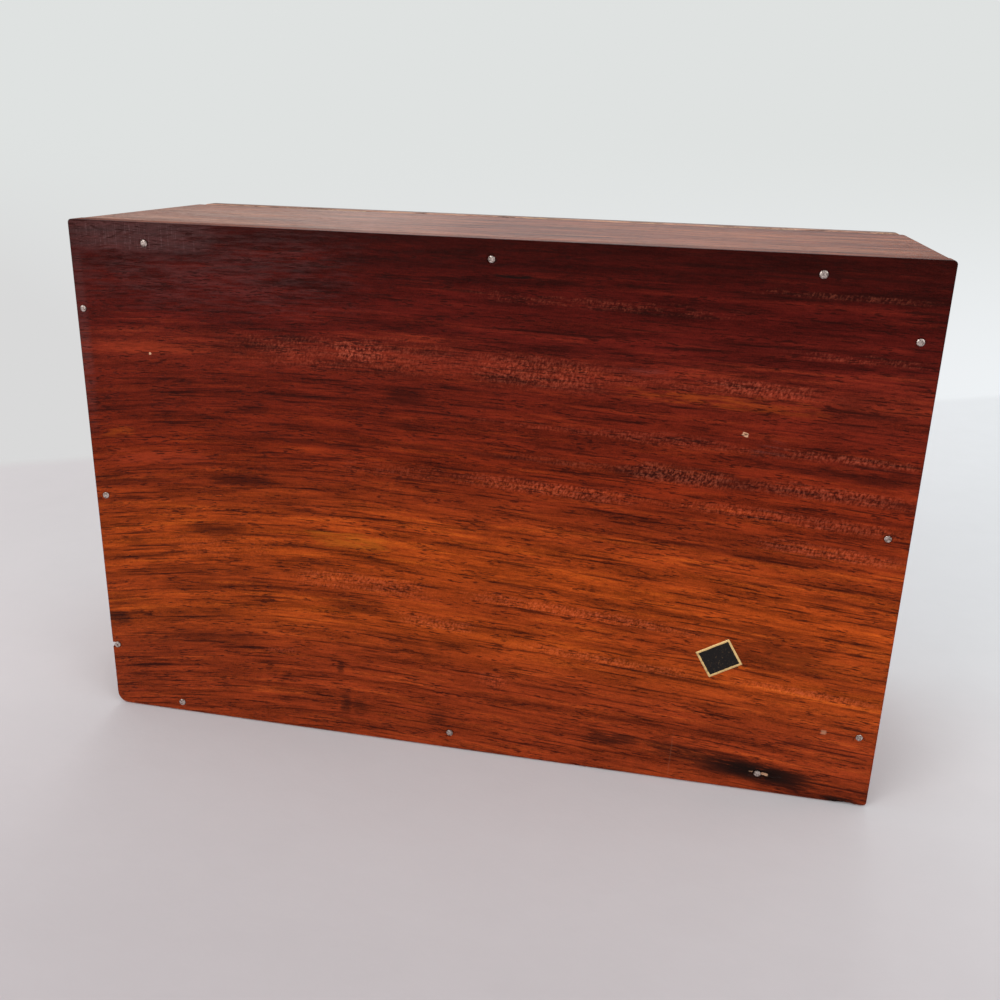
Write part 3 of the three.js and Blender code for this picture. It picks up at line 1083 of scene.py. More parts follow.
def arc_outline(corners: Sequence[tuple[float, float, float]], steps: int) -> list[Pair]:
    """Rounds the corners of a box-shaped outline.

    Args:
        corners: X, Y and radius of the four corners, anticlockwise from +X +Y.
        steps: Steps in each arc.

    Returns:
        The outline, anticlockwise.
    """
    outline = []
    for quarter, (x, y, radius) in enumerate(corners):
        side_x, side_y = math.copysign(1, x), math.copysign(1, y)
        for step in range(steps + 1):
            angle = (quarter + step / steps) * math.pi / 2
            outline.append((x - side_x * radius + radius * math.cos(angle),
                            y - side_y * radius + radius * math.sin(angle)))
    return outline


def ringed(name: str, rings: Sequence[Sequence[Point]]) -> Piece:
    """Makes a closed solid of anticlockwise rings, from the lowest to the highest.

    Args:
        name: The object's name.
        rings: The points of each ring.

    Returns:
        The solid.
    """
    count = len(rings[0])
    last = (len(rings) - 1) * count
    faces = [(start + i, start + (i + 1) % count, start + count + (i + 1) % count,
              start + count + i) for start in range(0, last, count) for i in range(count)]
    faces += [tuple(reversed(range(count))), tuple(range(last, last + count))]
    return from_faces(name, [point for ring in rings for point in ring], faces)


def prism(name: str, outline: Sequence[Pair], low: float, high: float) -> Piece:
    """Raises an anticlockwise outline into a closed solid."""
    return ringed(name, [[(x, y, z) for x, y in outline] for z in (low, high)])


def block(name: str, low: Point, high: Point) -> Piece:
    """Makes a box between two corners."""
    outline = [(high[0], high[1]), (low[0], high[1]), (low[0], low[1]), (high[0], low[1])]
    return prism(name, outline, low[2], high[2])


def turned(name: str, profile: Profile, sides: int, middle: Point = (0.0, 0.0, 0.0)) -> Piece:
    """Turns a profile of radius and height, from the bottom up, about a vertical axis.

    Args:
        name: The object's name.
        profile: Radius and height of each point. It starts and ends on the axis.
        sides: How many faces go round.
        middle: Where the axis meets height zero.

    Returns:
        The closed solid.
    """
    shell = bmesh.new()
    rings = []
    for radius, height in profile:
        count = 1 if radius == 0 else sides
        angles = [2 * math.pi * side / sides for side in range(count)]
        rings.append([shell.verts.new((middle[0] + radius * math.cos(angle),
                                       middle[1] + radius * math.sin(angle),
                                       middle[2] + height)) for angle in angles])
    for lower, upper in zip(rings, rings[1:]):
        for side in range(sides):
            after = (side + 1) % sides
            face = [lower[side % len(lower)], lower[after % len(lower)],
                    upper[after % len(upper)], upper[side % len(upper)]]
            face = [vert for place, vert in enumerate(face) if vert not in face[:place]]
            if len(face) > 2:
                shell.faces.new(face)
    bmesh.ops.recalc_face_normals(shell, faces=shell.faces)
    return from_shell(name, shell)


def along_x(piece: Piece, place: Point) -> Piece:
    """Lays a solid that was turned about Z along X, and moves it to a place."""
    piece.data.transform(Matrix.Translation(place) @ Matrix.Rotation(math.pi / 2, 4, "Y"))
    return piece


def dress(piece: Piece, body: Body, nodes: Iterable[str] = (),
          material: Material | None = None) -> None:
    """Gives a finished piece its finish, its body and the nodes that it stands for.

    Args:
        piece: The finished piece, in its place.
        body: The body that carries it.
        nodes: The nodes that it replaces.
        material: Its material, or None where its mesh has one.
    """
    if material:
        piece.data.materials.clear()
        piece.data.materials.append(material)
    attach(piece, body.value)
    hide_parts(*nodes)
    LOG.info("%s rides on %s", piece.name, body.value)


# Shapes that follow a rule, as Geometry Nodes


class Rule(Graph):
    """A Geometry Nodes tree with named inputs."""

    def __init__(self, name: str) -> None:
        """Starts the tree with its way in and its way out.

        Args:
            name: The tree's name.
        """
        super().__init__(bpy.data.node_groups.new(name, "GeometryNodeTree"))
        for way in ("INPUT", "OUTPUT"):
            self.tree.interface.new_socket("Geometry", in_out=way,
                                           socket_type="NodeSocketGeometry")
        self.entry = self.node("NodeGroupInput")
        self.exit = self.node("NodeGroupOutput")
        self.values: dict[str, float] = {}

    def size(self, name: str, value: float) -> Signal:
        """Adds a named number to the tree's inputs.

        Args:
            name: The input's name.
            value: What it is set to. A whole number makes an input for whole numbers.

        Returns:
            The input.
        """
        kind = "NodeSocketInt" if isinstance(value, int) else "NodeSocketFloat"
        socket = self.tree.interface.new_socket(name, in_out="INPUT", socket_type=kind)
        self.values[socket.identifier] = value
        return Signal(self, self.entry.outputs[name])

    def number(self, name: str) -> Signal:
        """Reads a number that the points carry."""
        values = {"Name": name}
        return self.apply("GeometryNodeInputNamedAttribute", values, data_type="FLOAT")

    def vector(self, name: str) -> Signal:
        """Reads a vector that the points carry."""
        values = {"Name": name}
        return self.apply("GeometryNodeInputNamedAttribute", values, data_type="FLOAT_VECTOR")

    def stored(self, geometry: Signal, name: str, value: Signal, kind: str = "FLOAT") -> Signal:
        """Makes the points carry a value."""
        values = {"Geometry": geometry, "Name": name, "Value": value}
        return self.apply("GeometryNodeStoreNamedAttribute", values, data_type=kind, domain="POINT")

    def source(self) -> Signal:
        """Gives the geometry that the modifier stands on."""
        return Signal(self, self.entry.outputs["Geometry"])

    def place(self) -> Signal:
        """Gives each point's place."""
        return self.apply("GeometryNodeInputPosition", {})

    def moved(self, geometry: Signal, place: Signal) -> Signal:
        """Moves each point to a place."""
        return self.apply("GeometryNodeSetPosition", {"Geometry": geometry, "Position": place})

    def grid(self, size: Pair, counts: tuple[Signal, Signal]) -> Signal:
        """Makes a flat grid of faces round the origin."""
        values = dict(zip(("Size X", "Size Y", "Vertices X", "Vertices Y"), (*size, *counts)))
        return self.apply("GeometryNodeMeshGrid", values, "Mesh")

    def merged(self, geometry: Signal, distance: float) -> Signal:
        """Merges points that lie together."""
        values = {"Geometry": geometry, "Distance": distance}
        return self.apply("GeometryNodeMergeByDistance", values)

    def ball(self, sides: int, rings: int) -> Signal:
        """Makes a ball of radius 1.

        Args:
            sides: How many faces go round.
            rings: How many go from pole to pole.

        Returns:
            The ball.
        """
        values = {"Segments": self.size("Sides", sides), "Rings": self.size("Rings", rings),
                  "Radius": 1.0}
        return self.apply("GeometryNodeMeshUVSphere", values)

    def on_points(self, instance: Signal, **values: Signal) -> Signal:
        """Sets a copy of a shape on each point."""
        values = {"Points": self.source(), "Instance": instance, **values}
        return self.apply("GeometryNodeInstanceOnPoints", values)

    def real(self, geometry: Signal) -> Signal:
        """Turns copies into faces of their own."""
        return self.apply("GeometryNodeRealizeInstances", {"Geometry": geometry})

    def finish(self, geometry: Signal, material: Material, name: str, source: Piece) -> Piece:
        """Ends the tree, runs it on an object and bakes the result.

        Args:
            geometry: What the tree makes.
            material: The material of what it makes.
            name: The baked object's name.
            source: The object whose mesh the tree reads. It is removed.

        Returns:
            The baked object, with no modifier.
        """
        dressed = self.apply("GeometryNodeSetMaterial", {"Geometry": self.real(geometry)})
        dressed.socket.node.inputs["Material"].default_value = material
        self.feed(self.exit.inputs[0], dressed)
        modifier = source.modifiers.new(self.tree.name, "NODES")
        modifier.node_group = self.tree
        for identifier, value in self.values.items():
            modifier[identifier] = value
        made = baked(source, name)
        made.data.materials.clear()
        made.data.materials.append(material)
        return shade(made)


def point_cloud(name: str, **columns: Sequence) -> Piece:
    """Makes loose points at the origin that carry numbers or vectors.

    Args:
        name: The object's name.
        **columns: Each attribute's values, one to a point.

    Returns:
        The object.
    """
    count = len(next(iter(columns.values())))
    made = from_faces(name, [(0.0, 0.0, 0.0)] * count, [])
    for column, values in columns.items():
        data = np.array(values, np.float32)
        kind, part = ("FLOAT_VECTOR", "vector") if data.ndim > 1 else ("FLOAT", "value")
        attribute = made.data.attributes.new(column, kind, "POINT")
        attribute.data.foreach_set(part, data.ravel())
    return made


# Stage


@dataclass(frozen=True)
class Camera:
    """A camera at the photograph's viewing angle, fitted to the outline of the box."""

    place: Point = (-0.05998, 0.09918, -0.26156)
    turn_degrees: Point = (160.9876, -11.7866, 178.4135)
    focal_length: float = 37.213
    sensor: float = 36.0
    clip_start: float = 10.0 * MM

    def build(self) -> None:
        """Makes the camera the scene's own."""
        data = bpy.data.cameras.new("camera")
        data.lens = self.focal_length
        data.sensor_width = self.sensor
        data.clip_start = self.clip_start
        made = new_object("camera", data)
        made.location = self.place
        made.rotation_euler = tuple(math.radians(turn) for turn in self.turn_degrees)
        bpy.context.scene.camera = made


@dataclass(frozen=True)
class Lamp:
    """A soft square lamp that faces the middle of the box."""

    name: str
    place: Point
    size: float
    power: float
    colour: Colour = (1.0, 1.0, 1.0)

    def build(self, target: Vector) -> None:
        """Hangs the lamp so that it faces a target.

        Args:
            target: The place that it faces.
        """
        data = bpy.data.lights.new(self.name, "AREA")
        data.size = self.size
        data.energy = self.power
        data.color = self.colour
        made = new_object(self.name, data)
        made.location = self.place
        made.rotation_euler = (target - Vector(self.place)).to_track_quat("-Z", "Y").to_euler()


@dataclass(frozen=True)
class Studio:
    """The floor under the front wall, the pale room and its lamps."""

    floor_drop: float = 0.3 * MM
    floor_reach: float = 12.0
    hole_inset: float = 1.2 * MM
    # The floor's colours paint its shade: darker to the left and towards the camera.
    floor_left: Colour = srgb(205, 201, 203)
    floor_right: Colour = srgb(222, 225, 228)
    floor_near: Colour = srgb(196, 189, 192)
    # wall_left, wall_right and wall_top paint the far wall's light: darker to the left, brighter to
    # the right.
    wall_left: Colour = srgb(217, 217, 217)
    # Painted light: lift brightens the floor from a little in front of the box onwards, against the
    # box's shadow.
    lift: float = 0.07
    painted_light_span: Pair = (-0.12, -0.03)
    wall_right: Colour = srgb(245, 249, 252)
    wall_top: Colour = srgb(223, 226, 225)
    wall_start: Pair = (0.064, 0.356)
    wall_slope: float = -0.606
    eye_height: float = 0.175
    eye_back: float = 0.26
    room_level: float = 0.72
    gloss_span: Pair = (-0.6, 0.3)
    gloss_levels: Pair = (0.06, 0.3)
    side_ratios: Pair = (0.9, -0.9)
    top_span: Pair = (-0.2, 0.02)
    left_to_right: Pair = (0.25, -0.25)
    far_to_near: Pair = (0.1, -0.16)
    wall_blur: float = 0.012
    mottle_scale: float = 60.0
    mottle_share: float = 0.05
    mottle_height: float = 0.2 * MM
    lamps: tuple[Lamp, ...] = (
        Lamp("key", (0.6, 0.5, -0.9), 0.7, 5.6, (1.0, 0.98, 0.96)),
        Lamp("fill", (-0.8, 0.55, -0.8), 0.8, 4.6),
        Lamp("over_lid", (0.1, 0.7, 0.9), 0.8, 3.0),
        Lamp("front", (0.3, -0.9, 0.3), 0.8, 3.0),
    )

    def build(self, low: Vector, high: Vector) -> None:
        """Sets up the room round a box.

        Args:
            low: The box's lower corner.
            high: Its upper corner.
        """
        self.floor(low, high)
        self.room()
        for lamp in self.lamps:
            lamp.build((low + high) / 2)
        bpy.context.scene.view_settings.view_transform = "Standard"

    def wall_colour(self, graph: Graph, x: Signal, drop: Signal, z: Signal) -> Signal:
        """Paints the far wall's light: brighter at the right where it meets the floor, and of one
        tone higher up.

        Args:
            graph: The tree.
            x: X of the view's direction.
            drop: How the direction rises or falls.
            z: Z of the direction.

        Returns:
            The colour.
        """
        side = graph.span(x / graph.most(z, 0.05), *self.side_ratios, 0.0, 1.0)
        foot = graph.mix(side, self.wall_left, self.wall_right)
        return graph.mix(graph.smooth(drop, *self.top_span), foot, self.wall_top)

    def floor(self, low: Vector, high: Vector) -> None:
        """Lays the floor just under the box.

        Args:
            low: The least corner of the box.
            high: Its greatest corner.
        """
        level, reach = low.y - self.floor_drop, self.floor_reach
        places = ((reach, -reach), (-reach, -reach), (-reach, reach), (reach, reach))
        made = from_faces("floor", [(x, level, z) for x, z in places], [(0, 1, 2, 3)])
        made.data.materials.append(self.floor_material(low, high))
        made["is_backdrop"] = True

    def floor_material(self, low: Vector, high: Vector) -> Material:
        """Colours the floor, which is seen only from above, with painted shade, and paints the wall
        beyond it, which glows with painted light.

        Under the box it lets light through, so that the wall that stands on it isn't black.

        Args:
            low: The box's lower corner.
            high: Its upper corner.

        Returns:
            The material.
        """
        paint = Paint("floor_finish", Roughness=0.7, Specular_IOR_Level=0.15)
        x, _, z = paint.split(paint.place())
        # Painted shade: the floor darkens to the left and towards the camera.
        colour = paint.mix(paint.span(x, *self.left_to_right, 0.0, 1.0), self.floor_left,
                           self.floor_right)
        colour = paint.mix(paint.span(z, *self.far_to_near, 0.0, 1.0), colour, self.floor_near)
        mottle = paint.noise(paint.scaled(paint.place(), self.mottle_scale), 4.0, 0.6)
        level = 1 + (mottle - 0.5) * self.mottle_share
        # Painted light: brighter from a little in front of the box onwards, making up for part of
        # its shadow.
        lift = paint.smooth(z, *self.painted_light_span) * self.lift
        paint.set(Base_Color=paint.scaled(colour, level + lift))
        paint.bump(mottle, self.mottle_height)
        start_x, start_z = self.wall_start
        beyond = paint.smooth(z - start_z - (x - start_x) * self.wall_slope, -self.wall_blur,
                              self.wall_blur)
        drop = -self.eye_height / paint.most(z + self.eye_back, self.eye_back)
        # Painted light: beyond the wall line the floor glows for the camera in the far wall's
        # colours instead of being lit.
        values = {"Color": self.wall_colour(paint, x, drop, z), "Strength": 1.0}
        glow = paint.apply("ShaderNodeEmission", values)
        seen = paint.apply("ShaderNodeLightPath", {}, "Is Camera Ray")
        shaded = Signal(paint, paint.shader.outputs[0])
        solid = paint.apply("ShaderNodeMixShader", {0: beyond * seen, 1: shaded, 2: glow})
        middle, half = (low.z + high.z) / 2, (high.z - low.z) / 2
        inside_x, inside_z = (
            paint.math("LESS_THAN", paint.math("ABSOLUTE", offset), reach - self.hole_inset)
            for offset, reach in ((x, high.x), (z - middle, half)))
        back = paint.apply("ShaderNodeNewGeometry", {}, "Backfacing")
        gone = paint.most(back, inside_x * inside_z * (1 - seen))
        clear = paint.apply("ShaderNodeBsdfTransparent", {})
        paint.feed(paint.surface, paint.apply("ShaderNodeMixShader", {0: gone, 1: solid, 2: clear}))
        return paint.material

    def room(self) -> None:
        """Makes the world: pale to the camera, where it shows the far wall's painted light, darker
        behind the camera where gloss sees it.
        """
        world = bpy.data.worlds.new("room")
        bpy.context.scene.world = world
        world.use_nodes = True
        world.node_tree.nodes.clear()
        graph = Graph(world.node_tree)
        x, y, z = graph.split(graph.apply("ShaderNodeTexCoord", {}, "Generated"))
        white = opaque((1.0, 1.0, 1.0))
        gloss = graph.span(z, *self.gloss_span, *self.gloss_levels)
        seen, lit, shone = (
            graph.apply("ShaderNodeBackground", {"Color": colour, "Strength": strength})
            for colour, strength in ((self.wall_colour(graph, x, y, z), 1.0),
                                     (white, self.room_level), (white, gloss)))
        mixed = lit
        for ray, shader in (("Is Glossy Ray", shone), ("Is Camera Ray", seen)):
            share = graph.apply("ShaderNodeLightPath", {}, ray)
            mixed = graph.apply("ShaderNodeMixShader", {0: share, 1: mixed, 2: shader})
        graph.feed(graph.node("ShaderNodeOutputWorld").inputs["Surface"], mixed)


# Bottom panel, nails and label


PANEL_TONES = (
    (0.0, srgb(48, 8, 5)), (0.05, srgb(60, 11, 7)), (0.1, srgb(70, 14, 9)),
    (0.17, srgb(80, 19, 12)), (0.21, srgb(104, 32, 18)), (0.26, srgb(94, 26, 13)),
    (0.33, srgb(98, 28, 12)), (0.4, srgb(110, 34, 12)), (0.47, srgb(118, 41, 14)),
    (0.53, srgb(138, 53, 16)), (0.6, srgb(148, 59, 16)), (0.68, srgb(138, 53, 17)),
    (0.73, srgb(146, 59, 17)), (0.82, srgb(128, 47, 18)), (1.0, srgb(124, 45, 18)),
)


def inked(ink: Ink, rows: Iterable[tuple[float, ...]], follows: bool = True) -> tuple[Mark, ...]:
    """Makes marks from rows: span along, span across, strength, turn, growth, core."""
    return tuple(Mark(ink, row[:2], row[2:4], row[4], follows, *row[5:]) for row in rows)


PANEL_MARKS = (
    *inked(Ink.RED, rows=((3, 41, 32.5, 36, 0.65), (4, 41, 64, 68, 0.65), (5, 12, 143, 149, 0.4))),
    *inked(Ink.AMBER, rows=((5, 15, 58, 61, 0.5), (152, 207, 36, 39.5, 0.45),
           (192, 230, 105, 111, 0.5))),
    *inked(Ink.GOLD, rows=((67, 93, 83.7, 89, 0.6),)),
    *inked(Ink.DARK, rows=((188, 226, 4.5, 5.6, 0.8), (204, 229, 35, 39, 0.55),
           (90, 102, 39.5, 45, 0.75), (48, 57, 48, 51, 0.6), (81, 105, 48, 54, 0.35),
           (199, 230, 52, 56, 0.6), (38, 90, 57, 58.6, 0.7), (84, 150, 55.6, 58, 0.65),
           (37, 57, 69, 72.6, 0.85), (-4, 29, 73.4, 75.3, 0.7), (27, 48, 85, 88.7, 0.75),
           (8, 16, 92, 95.5, 0.65), (11, 60, 99, 105, 0.5), (56, 82, 92.5, 94.5, 0.55),
           (72, 93, 104.5, 109, 0.6), (20, 45, 113, 117.5, 0.6), (84, 117, 114, 117.5, 0.55),
           (113, 140, 92, 98, 0.45), (128, 186, 95, 98, 0.4), (182, 230, 98.6, 102.6, 0.55),
           (100, 152, 130, 133, 0.55), (60, 104, 144, 146, 0.5), (184, 216, 101, 112, 0.65),
           (146, 200, 55.5, 60.5, 0.7))),
    *inked(Ink.DARK, follows=False, rows=((-2, 33, 97, 98.6, 0.7, -11), (9, 54, 120, 126, 0.6, -8),
           # The last row darkens the bottom right corner of the panel.
           (198, 238, 142, 155, 0.65))),
    # The cross fleck rows are partly the wood's figure, partly painted sheen and shade.
    *inked(Ink.RIBBON, rows=((184, 227, 9, 10.7, 0.6), (113, 184, 13.5, 16.6, 0.5),
           (196, 229, 23.7, 26, 0.55), (46, 115, 27, 37, 0.55), (113, 152, 29, 38, 0.75),
           (174, 203, 32, 35.6, 0.85), (149, 184, 47, 50.5, 0.65), (195, 230, 49, 51, 0.95),
           (76, 117, 62, 66, 0.45), (192, 230, 74, 77.4, 0.85), (113, 181, 99, 102.5, 0.75),
           (131, 182, 113, 116, 0.7), (192, 229, 116, 118.4, 0.75), (96, 208, 32, 35.4, 0.45),
           (112, 234, 48.4, 50.2, 0.55))),
    *inked(Ink.FLECK, rows=((120, 236, 57.8, 60, 0.6), (104, 236, 65, 67.2, 0.5),
           (76, 90, 29, 34, 0.8), (157, 185, 55.7, 60.4, 1.0), (188, 230, 58, 61.6, 0.85),
           (113, 160, 63, 67, 0.85), (171, 230, 65.5, 69, 0.75), (59, 106, 96, 102, 0.65),
           (94, 117, 107, 111, 0.75), (20, 58, 88, 96, 0.35), (52, 62, 123, 125, 0.6),
           (117, 128, 123, 128, 0.6))),
    # Painted glare: the first three grey rows veil the top left corner and the top of the left
    # edge, partly a dull film with scratches and partly reflected light.
    *inked(Ink.FILM, follows=False, rows=((-6, 46, -3, 9, 0.85), (-6, 84, -3, 24, 0.45),
           (-3, 4, -2, 60, 0.6), (152, 167, 30.5, 32.4, 0.4), (188, 197, 46.5, 52, 0.35))),
    *inked(Ink.STAIN, rows=((119.5, 130, 8.5, 9.6, 1.0),)),
    *inked(Ink.STAIN, follows=False, rows=((-3, 8, 117.5, 122, 0.7), (74.2, 76.8, 124.6, 130, 0.7),
           (75, 79, 134.5, 143.6, 0.6), (79.6, 84, 135, 144, 0.5),
           (102.5, 109, 136.5, 143.5, 0.55), (150, 167, 137, 142, 0.7),
           (166, 192, 137.6, 144, 0.7, 4), (180, 216, 140.4, 147, 1.0, 5),
           # Painted shade: the last row darkens the chipped notch at the bottom edge, where the
           # floor shows through.
           (218, 227, 148.4, 151, 1.0))),
    *inked(Ink.PALE, follows=False, rows=((174.8, 175.1, 135, 149, 0.05, 2),
           (185.5, 186.9, 45.1, 46.1, 0.9, 15, 1.2, 0.6),
           (21.2, 21.8, 35.5, 36.1, 0.9, 0, 1.3, 0.5), (215.1, 216.5, 127.6, 129, 0.4),
           (200.6, 202.6, 144.2, 145, 0.7, 8, 1.2, 0.5),
           (197.2, 198.4, 143.7, 144.3, 0.5, 8, 1.2, 0.5))),
)


@dataclass
class BottomPanel:
    """The board that faces the camera, with its nails and its foil label.

    The board's face lies a hair above the box's lowest level, so that the nail heads and the
    label can stand proud of it.
    """

    face: float = 0.22 * MM
    edge_radius: float = 0.4 * MM
    corner_radius: float = 1.0 * MM
    worn_corner_radius: float = 3.4 * MM
    corner_steps: int = 8
    pit_radius: float = 1.75 * MM
    pit_depth: float = 0.45 * MM
    pit_spread: float = 1.3
    nail_radius: float = 1.0 * MM
    nail_dome: float = 0.28 * MM
    nail_seat_share: float = 0.55
    gouge_half: Point = (4.6 * MM, 1.2 * MM, 0.7 * MM)
    gouge_place: Pair = (-85.8 * MM, -69.4 * MM)
    chip_half: Point = (2.6 * MM, 0.55 * MM, 1.1 * MM)
    chip_along: float = -109.2 * MM
    notch_half: Point = (1.0 * MM, 0.9 * MM, 1.4 * MM)
    notch_y: float = -54.5 * MM
    damage_swell: float = 0.09
    damage_waves: float = 2.2
    label_half: Pair = (5.0 * MM, 4.2 * MM)
    label_turn: float = math.radians(-31)
    label_edge: float = 0.6 * MM
    label_lift: float = 0.1 * MM
    label_steps: int = 24
    label_thickness: float = 0.08 * MM
    nail_count: int = 12
    nail_seed: int = 11
    nail_tilt: float = 0.07
    nail_growth: Pair = (0.92, 1.06)
    low: Vector = field(default_factory=lambda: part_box("bottom_panel")[0])
    high: Vector = field(default_factory=lambda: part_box("bottom_panel")[1])

    def build(self) -> None:
        """Makes the panel, the nails and the label."""
        self.board()
        self.nails()
        self.label()

    def finish(self) -> Rosewood:
        """Gives the panel's wood, measured from its left end and top edge as the camera sees it.

        Returns:
            The finish.
        """
        origin = (self.high.x, self.high.y, self.low.z)
        grain = Grain((-1.0, 0.0, 0.0), (0.0, -1.0, 0.0), (0.0, 0.0, 1.0), origin)
        size = self.high - self.low
        arch = Arch(80, 7, 9, size.x / MM, 30, 90, 0.35)
        return Rosewood("panel_wood_finish", grain, tuple(self.low), tuple(self.high), PANEL_TONES,
                        (0.0, size.y / MM), arch, PANEL_MARKS, (0.9, 1.06), figure=0.0,
                        gloss=0.05, side=srgb(140, 76, 54))

    def nail_nodes(self) -> list[str]:
        """Names the nail of each node."""
        return [f"bottom_nail_{number + 1}" for number in range(self.nail_count)]

    def places(self) -> list[Pair]:
        """Gives the middle of each nail."""
        middles = [(low + high) / 2 for low, high in map(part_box, self.nail_nodes())]
        return [(middle.x, middle.y) for middle in middles]

    def board(self) -> None:
        """Makes the board with eased edges, a pit round each nail and its old damage."""
        x, y, radius = self.high.x, self.high.y, self.corner_radius
        corners = [(x, y, radius), (-x, y, radius), (-x, -y, radius),
                   (x, -y, self.worn_corner_radius)]
        outline = arc_outline(corners, self.corner_steps)
        board = prism("panel_board", outline, self.face, self.high.z)
        self.ease(board)
        board = cut(board, [*self.pits(), *self.damage()])
        shade(board, 40)
        weighted(board, True)
        dress(board, Body.BOX, ["bottom_panel"], self.finish().make())

    def ease(self, board: Piece) -> None:
        """Rounds the edge of the outer face.

        Args:
            board: The board.
        """
        with edited(board.data) as shell:
            rim = [edge for edge in shell.edges
                   if all(abs(vert.co.z - self.face) < TINY for vert in edge.verts)]
            bmesh.ops.bevel(shell, geom=rim, offset=self.edge_radius, segments=5, profile=0.5,
                            affect="EDGES")

    def pits(self) -> list[Piece]:
        """Makes a shallow cone round each nail.

        Returns:
            The cutters.
        """
        deep = self.face + self.pit_depth
        profile = [(0, -self.face), (self.pit_radius * self.pit_spread, -self.face),
                   (self.pit_radius, self.face), (self.nail_radius, deep), (0, deep)]
        return [turned(f"pit_{number}", profile, 20, (*place, 0.0))
                for number, place in enumerate(self.places())]

    def lump(self, name: str, half: Point, middle: Point, seed: int) -> Piece:
        """Makes a rough lump, for cutting out old damage.

        Args:
            name: The lump's name.
            half: Its half length, half width and half height.
            middle: Its middle.
            seed: The seed of its roughness.

        Returns:
            The lump.
        """
        shell = bmesh.new()
        bmesh.ops.create_icosphere(shell, subdivisions=3, radius=1.0)
        draw = np.random.default_rng(seed)
        waves = draw.normal(size=(4, 3)) * self.damage_waves
        for vert in shell.verts:
            swell = sum(math.sin(vert.co.dot(Vector(wave)) + number)
                        for number, wave in enumerate(waves))
            vert.co = Vector(part * size * (1 + self.damage_swell * swell) + place
                             for part, size, place in zip(vert.co, half, middle))
        return from_shell(name, shell)

    def damage(self) -> list[Piece]:
        """Makes the cutters of the gouge by a nail, the chipped edge and the notch.

        Returns:
            The cutters.
        """
        x, y = self.gouge_place
        return [
            self.lump("gouge", self.gouge_half, (x, y, self.face), 3),
            self.lump("chip", self.chip_half, (self.chip_along, self.low.y, self.face), 5),
            self.lump("notch", self.notch_half, (self.high.x, self.notch_y, self.face), 8),
        ]

    def nails(self) -> None:
        """Sets a worn round head in each pit, with Geometry Nodes."""
        metal = Metal("nail_steel_finish", srgb(214, 200, 192), srgb(120, 104, 98), (0.3, 0.6), 0.5)
        draw = np.random.default_rng(self.nail_seed)
        count = self.nail_count
        where = [(*place, 0.0) for place in self.places()]
        tilt = np.column_stack([draw.normal(0, self.nail_tilt, (count, 2)),
                                draw.uniform(0, 6.28, count)])
        cloud = point_cloud("nail_points", where=where, tilt=tilt,
                            large=draw.uniform(*self.nail_growth, count))
        rule = Rule("nail_heads")
        radius = rule.size("Head Radius", self.nail_radius)
        dome = rule.size("Dome Height", self.nail_dome)
        level = rule.size("Seat Level", self.face + self.pit_depth * self.nail_seat_share)
        flatness = rule.size("Dome Flatness", 0.32)
        slot_depth = rule.size("Slot Depth Share", 0.22)
        slot_lean = rule.size("Slot Lean", 0.2)
        ball = rule.ball(28, 14)
        x, y, z = rule.split(rule.place())
        flat = (1 - rule.least(x * x + y * y, 1.0)) ** flatness
        down = rule.math("SIGN", z) * flat * dome
        offset = rule.math("ABSOLUTE", x + y * slot_lean)
        slot = rule.smooth(offset, 0.16, 0.05) * dome * slot_depth
        head = rule.moved(ball, rule.combine(x * radius, y * radius,
                                             down + slot * rule.smooth(z, 0.0, -0.5)))
        heads = rule.on_points(head, Rotation=rule.vector("tilt"), Scale=rule.number("large"))
        x, y, _ = rule.split(rule.vector("where"))
        values = {"Instances": heads, "Translation": rule.combine(x, y, level),
                  "Local Space": False}
        placed = rule.apply("GeometryNodeTranslateInstances", values)
        piece = rule.finish(placed, metal.make(), "bottom_nail_heads", cloud)
        dress(piece, Body.BOX, self.nail_nodes())

    def label(self) -> None:
        """Makes the foil label, whose worn corner lifts a little."""
        low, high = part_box("foil_label")
        x, y, _ = (low + high) / 2
        turn = Matrix.Translation((x, y, 0)) @ Matrix.Rotation(self.label_turn, 4, "Z")
        material = Foil((x, y, 0.0), self.label_turn, self.label_half, self.label_edge).make()
        shell = bmesh.new()
        bmesh.ops.create_grid(shell, x_segments=self.label_steps, y_segments=self.label_steps,
                              size=1.0)
        for vert in shell.verts:
            x, y = vert.co.x, vert.co.y
            worn_corner, other_corner = max(0.0, (x - y) / 2 - 0.55), max(0.0, -x - y - 1.5)
            lift = min(1.6 * worn_corner ** 2 + 0.12 * other_corner, 1.0)
            wave = 0.25 + 0.1 * math.sin(5 * x + 2) * math.cos(4 * y)
            level = self.face - (wave * 0.3 + lift) * self.label_lift
            vert.co = Vector((x * self.label_half[0], y * self.label_half[1], level))
        bmesh.ops.recalc_face_normals(shell, faces=shell.faces)
        shell.transform(turn)
        label = from_shell("label", shell)
        if label.data.polygons[0].normal.z > 0:
            label.data.flip_normals()
        thickness = label.modifiers.new("thickness", "SOLIDIFY")
        thickness.thickness = self.label_thickness
        thickness.offset = -1
        shade(label)
        dress(label, Body.BOX, ["foil_label"], material)


# Walls


WALL_TONES = (
    (0.0, srgb(142, 76, 54)), (0.2, srgb(148, 82, 58)), (0.45, srgb(132, 68, 48)),
    (0.7, srgb(146, 80, 56)), (1.0, srgb(136, 70, 50)),
)

WALL_STREAKS = Layer(80, 3.0, 0.0, 1.0, 1.0, 5.0, 0.74)
# Long scratch lines in the walls' pale grey marks, partly painted glints.
WALL_SCRATCHES_AND_GLINTS = Layer(60, 2.2, 0.42, 0.62, 1.0, 5.0, 0.7)

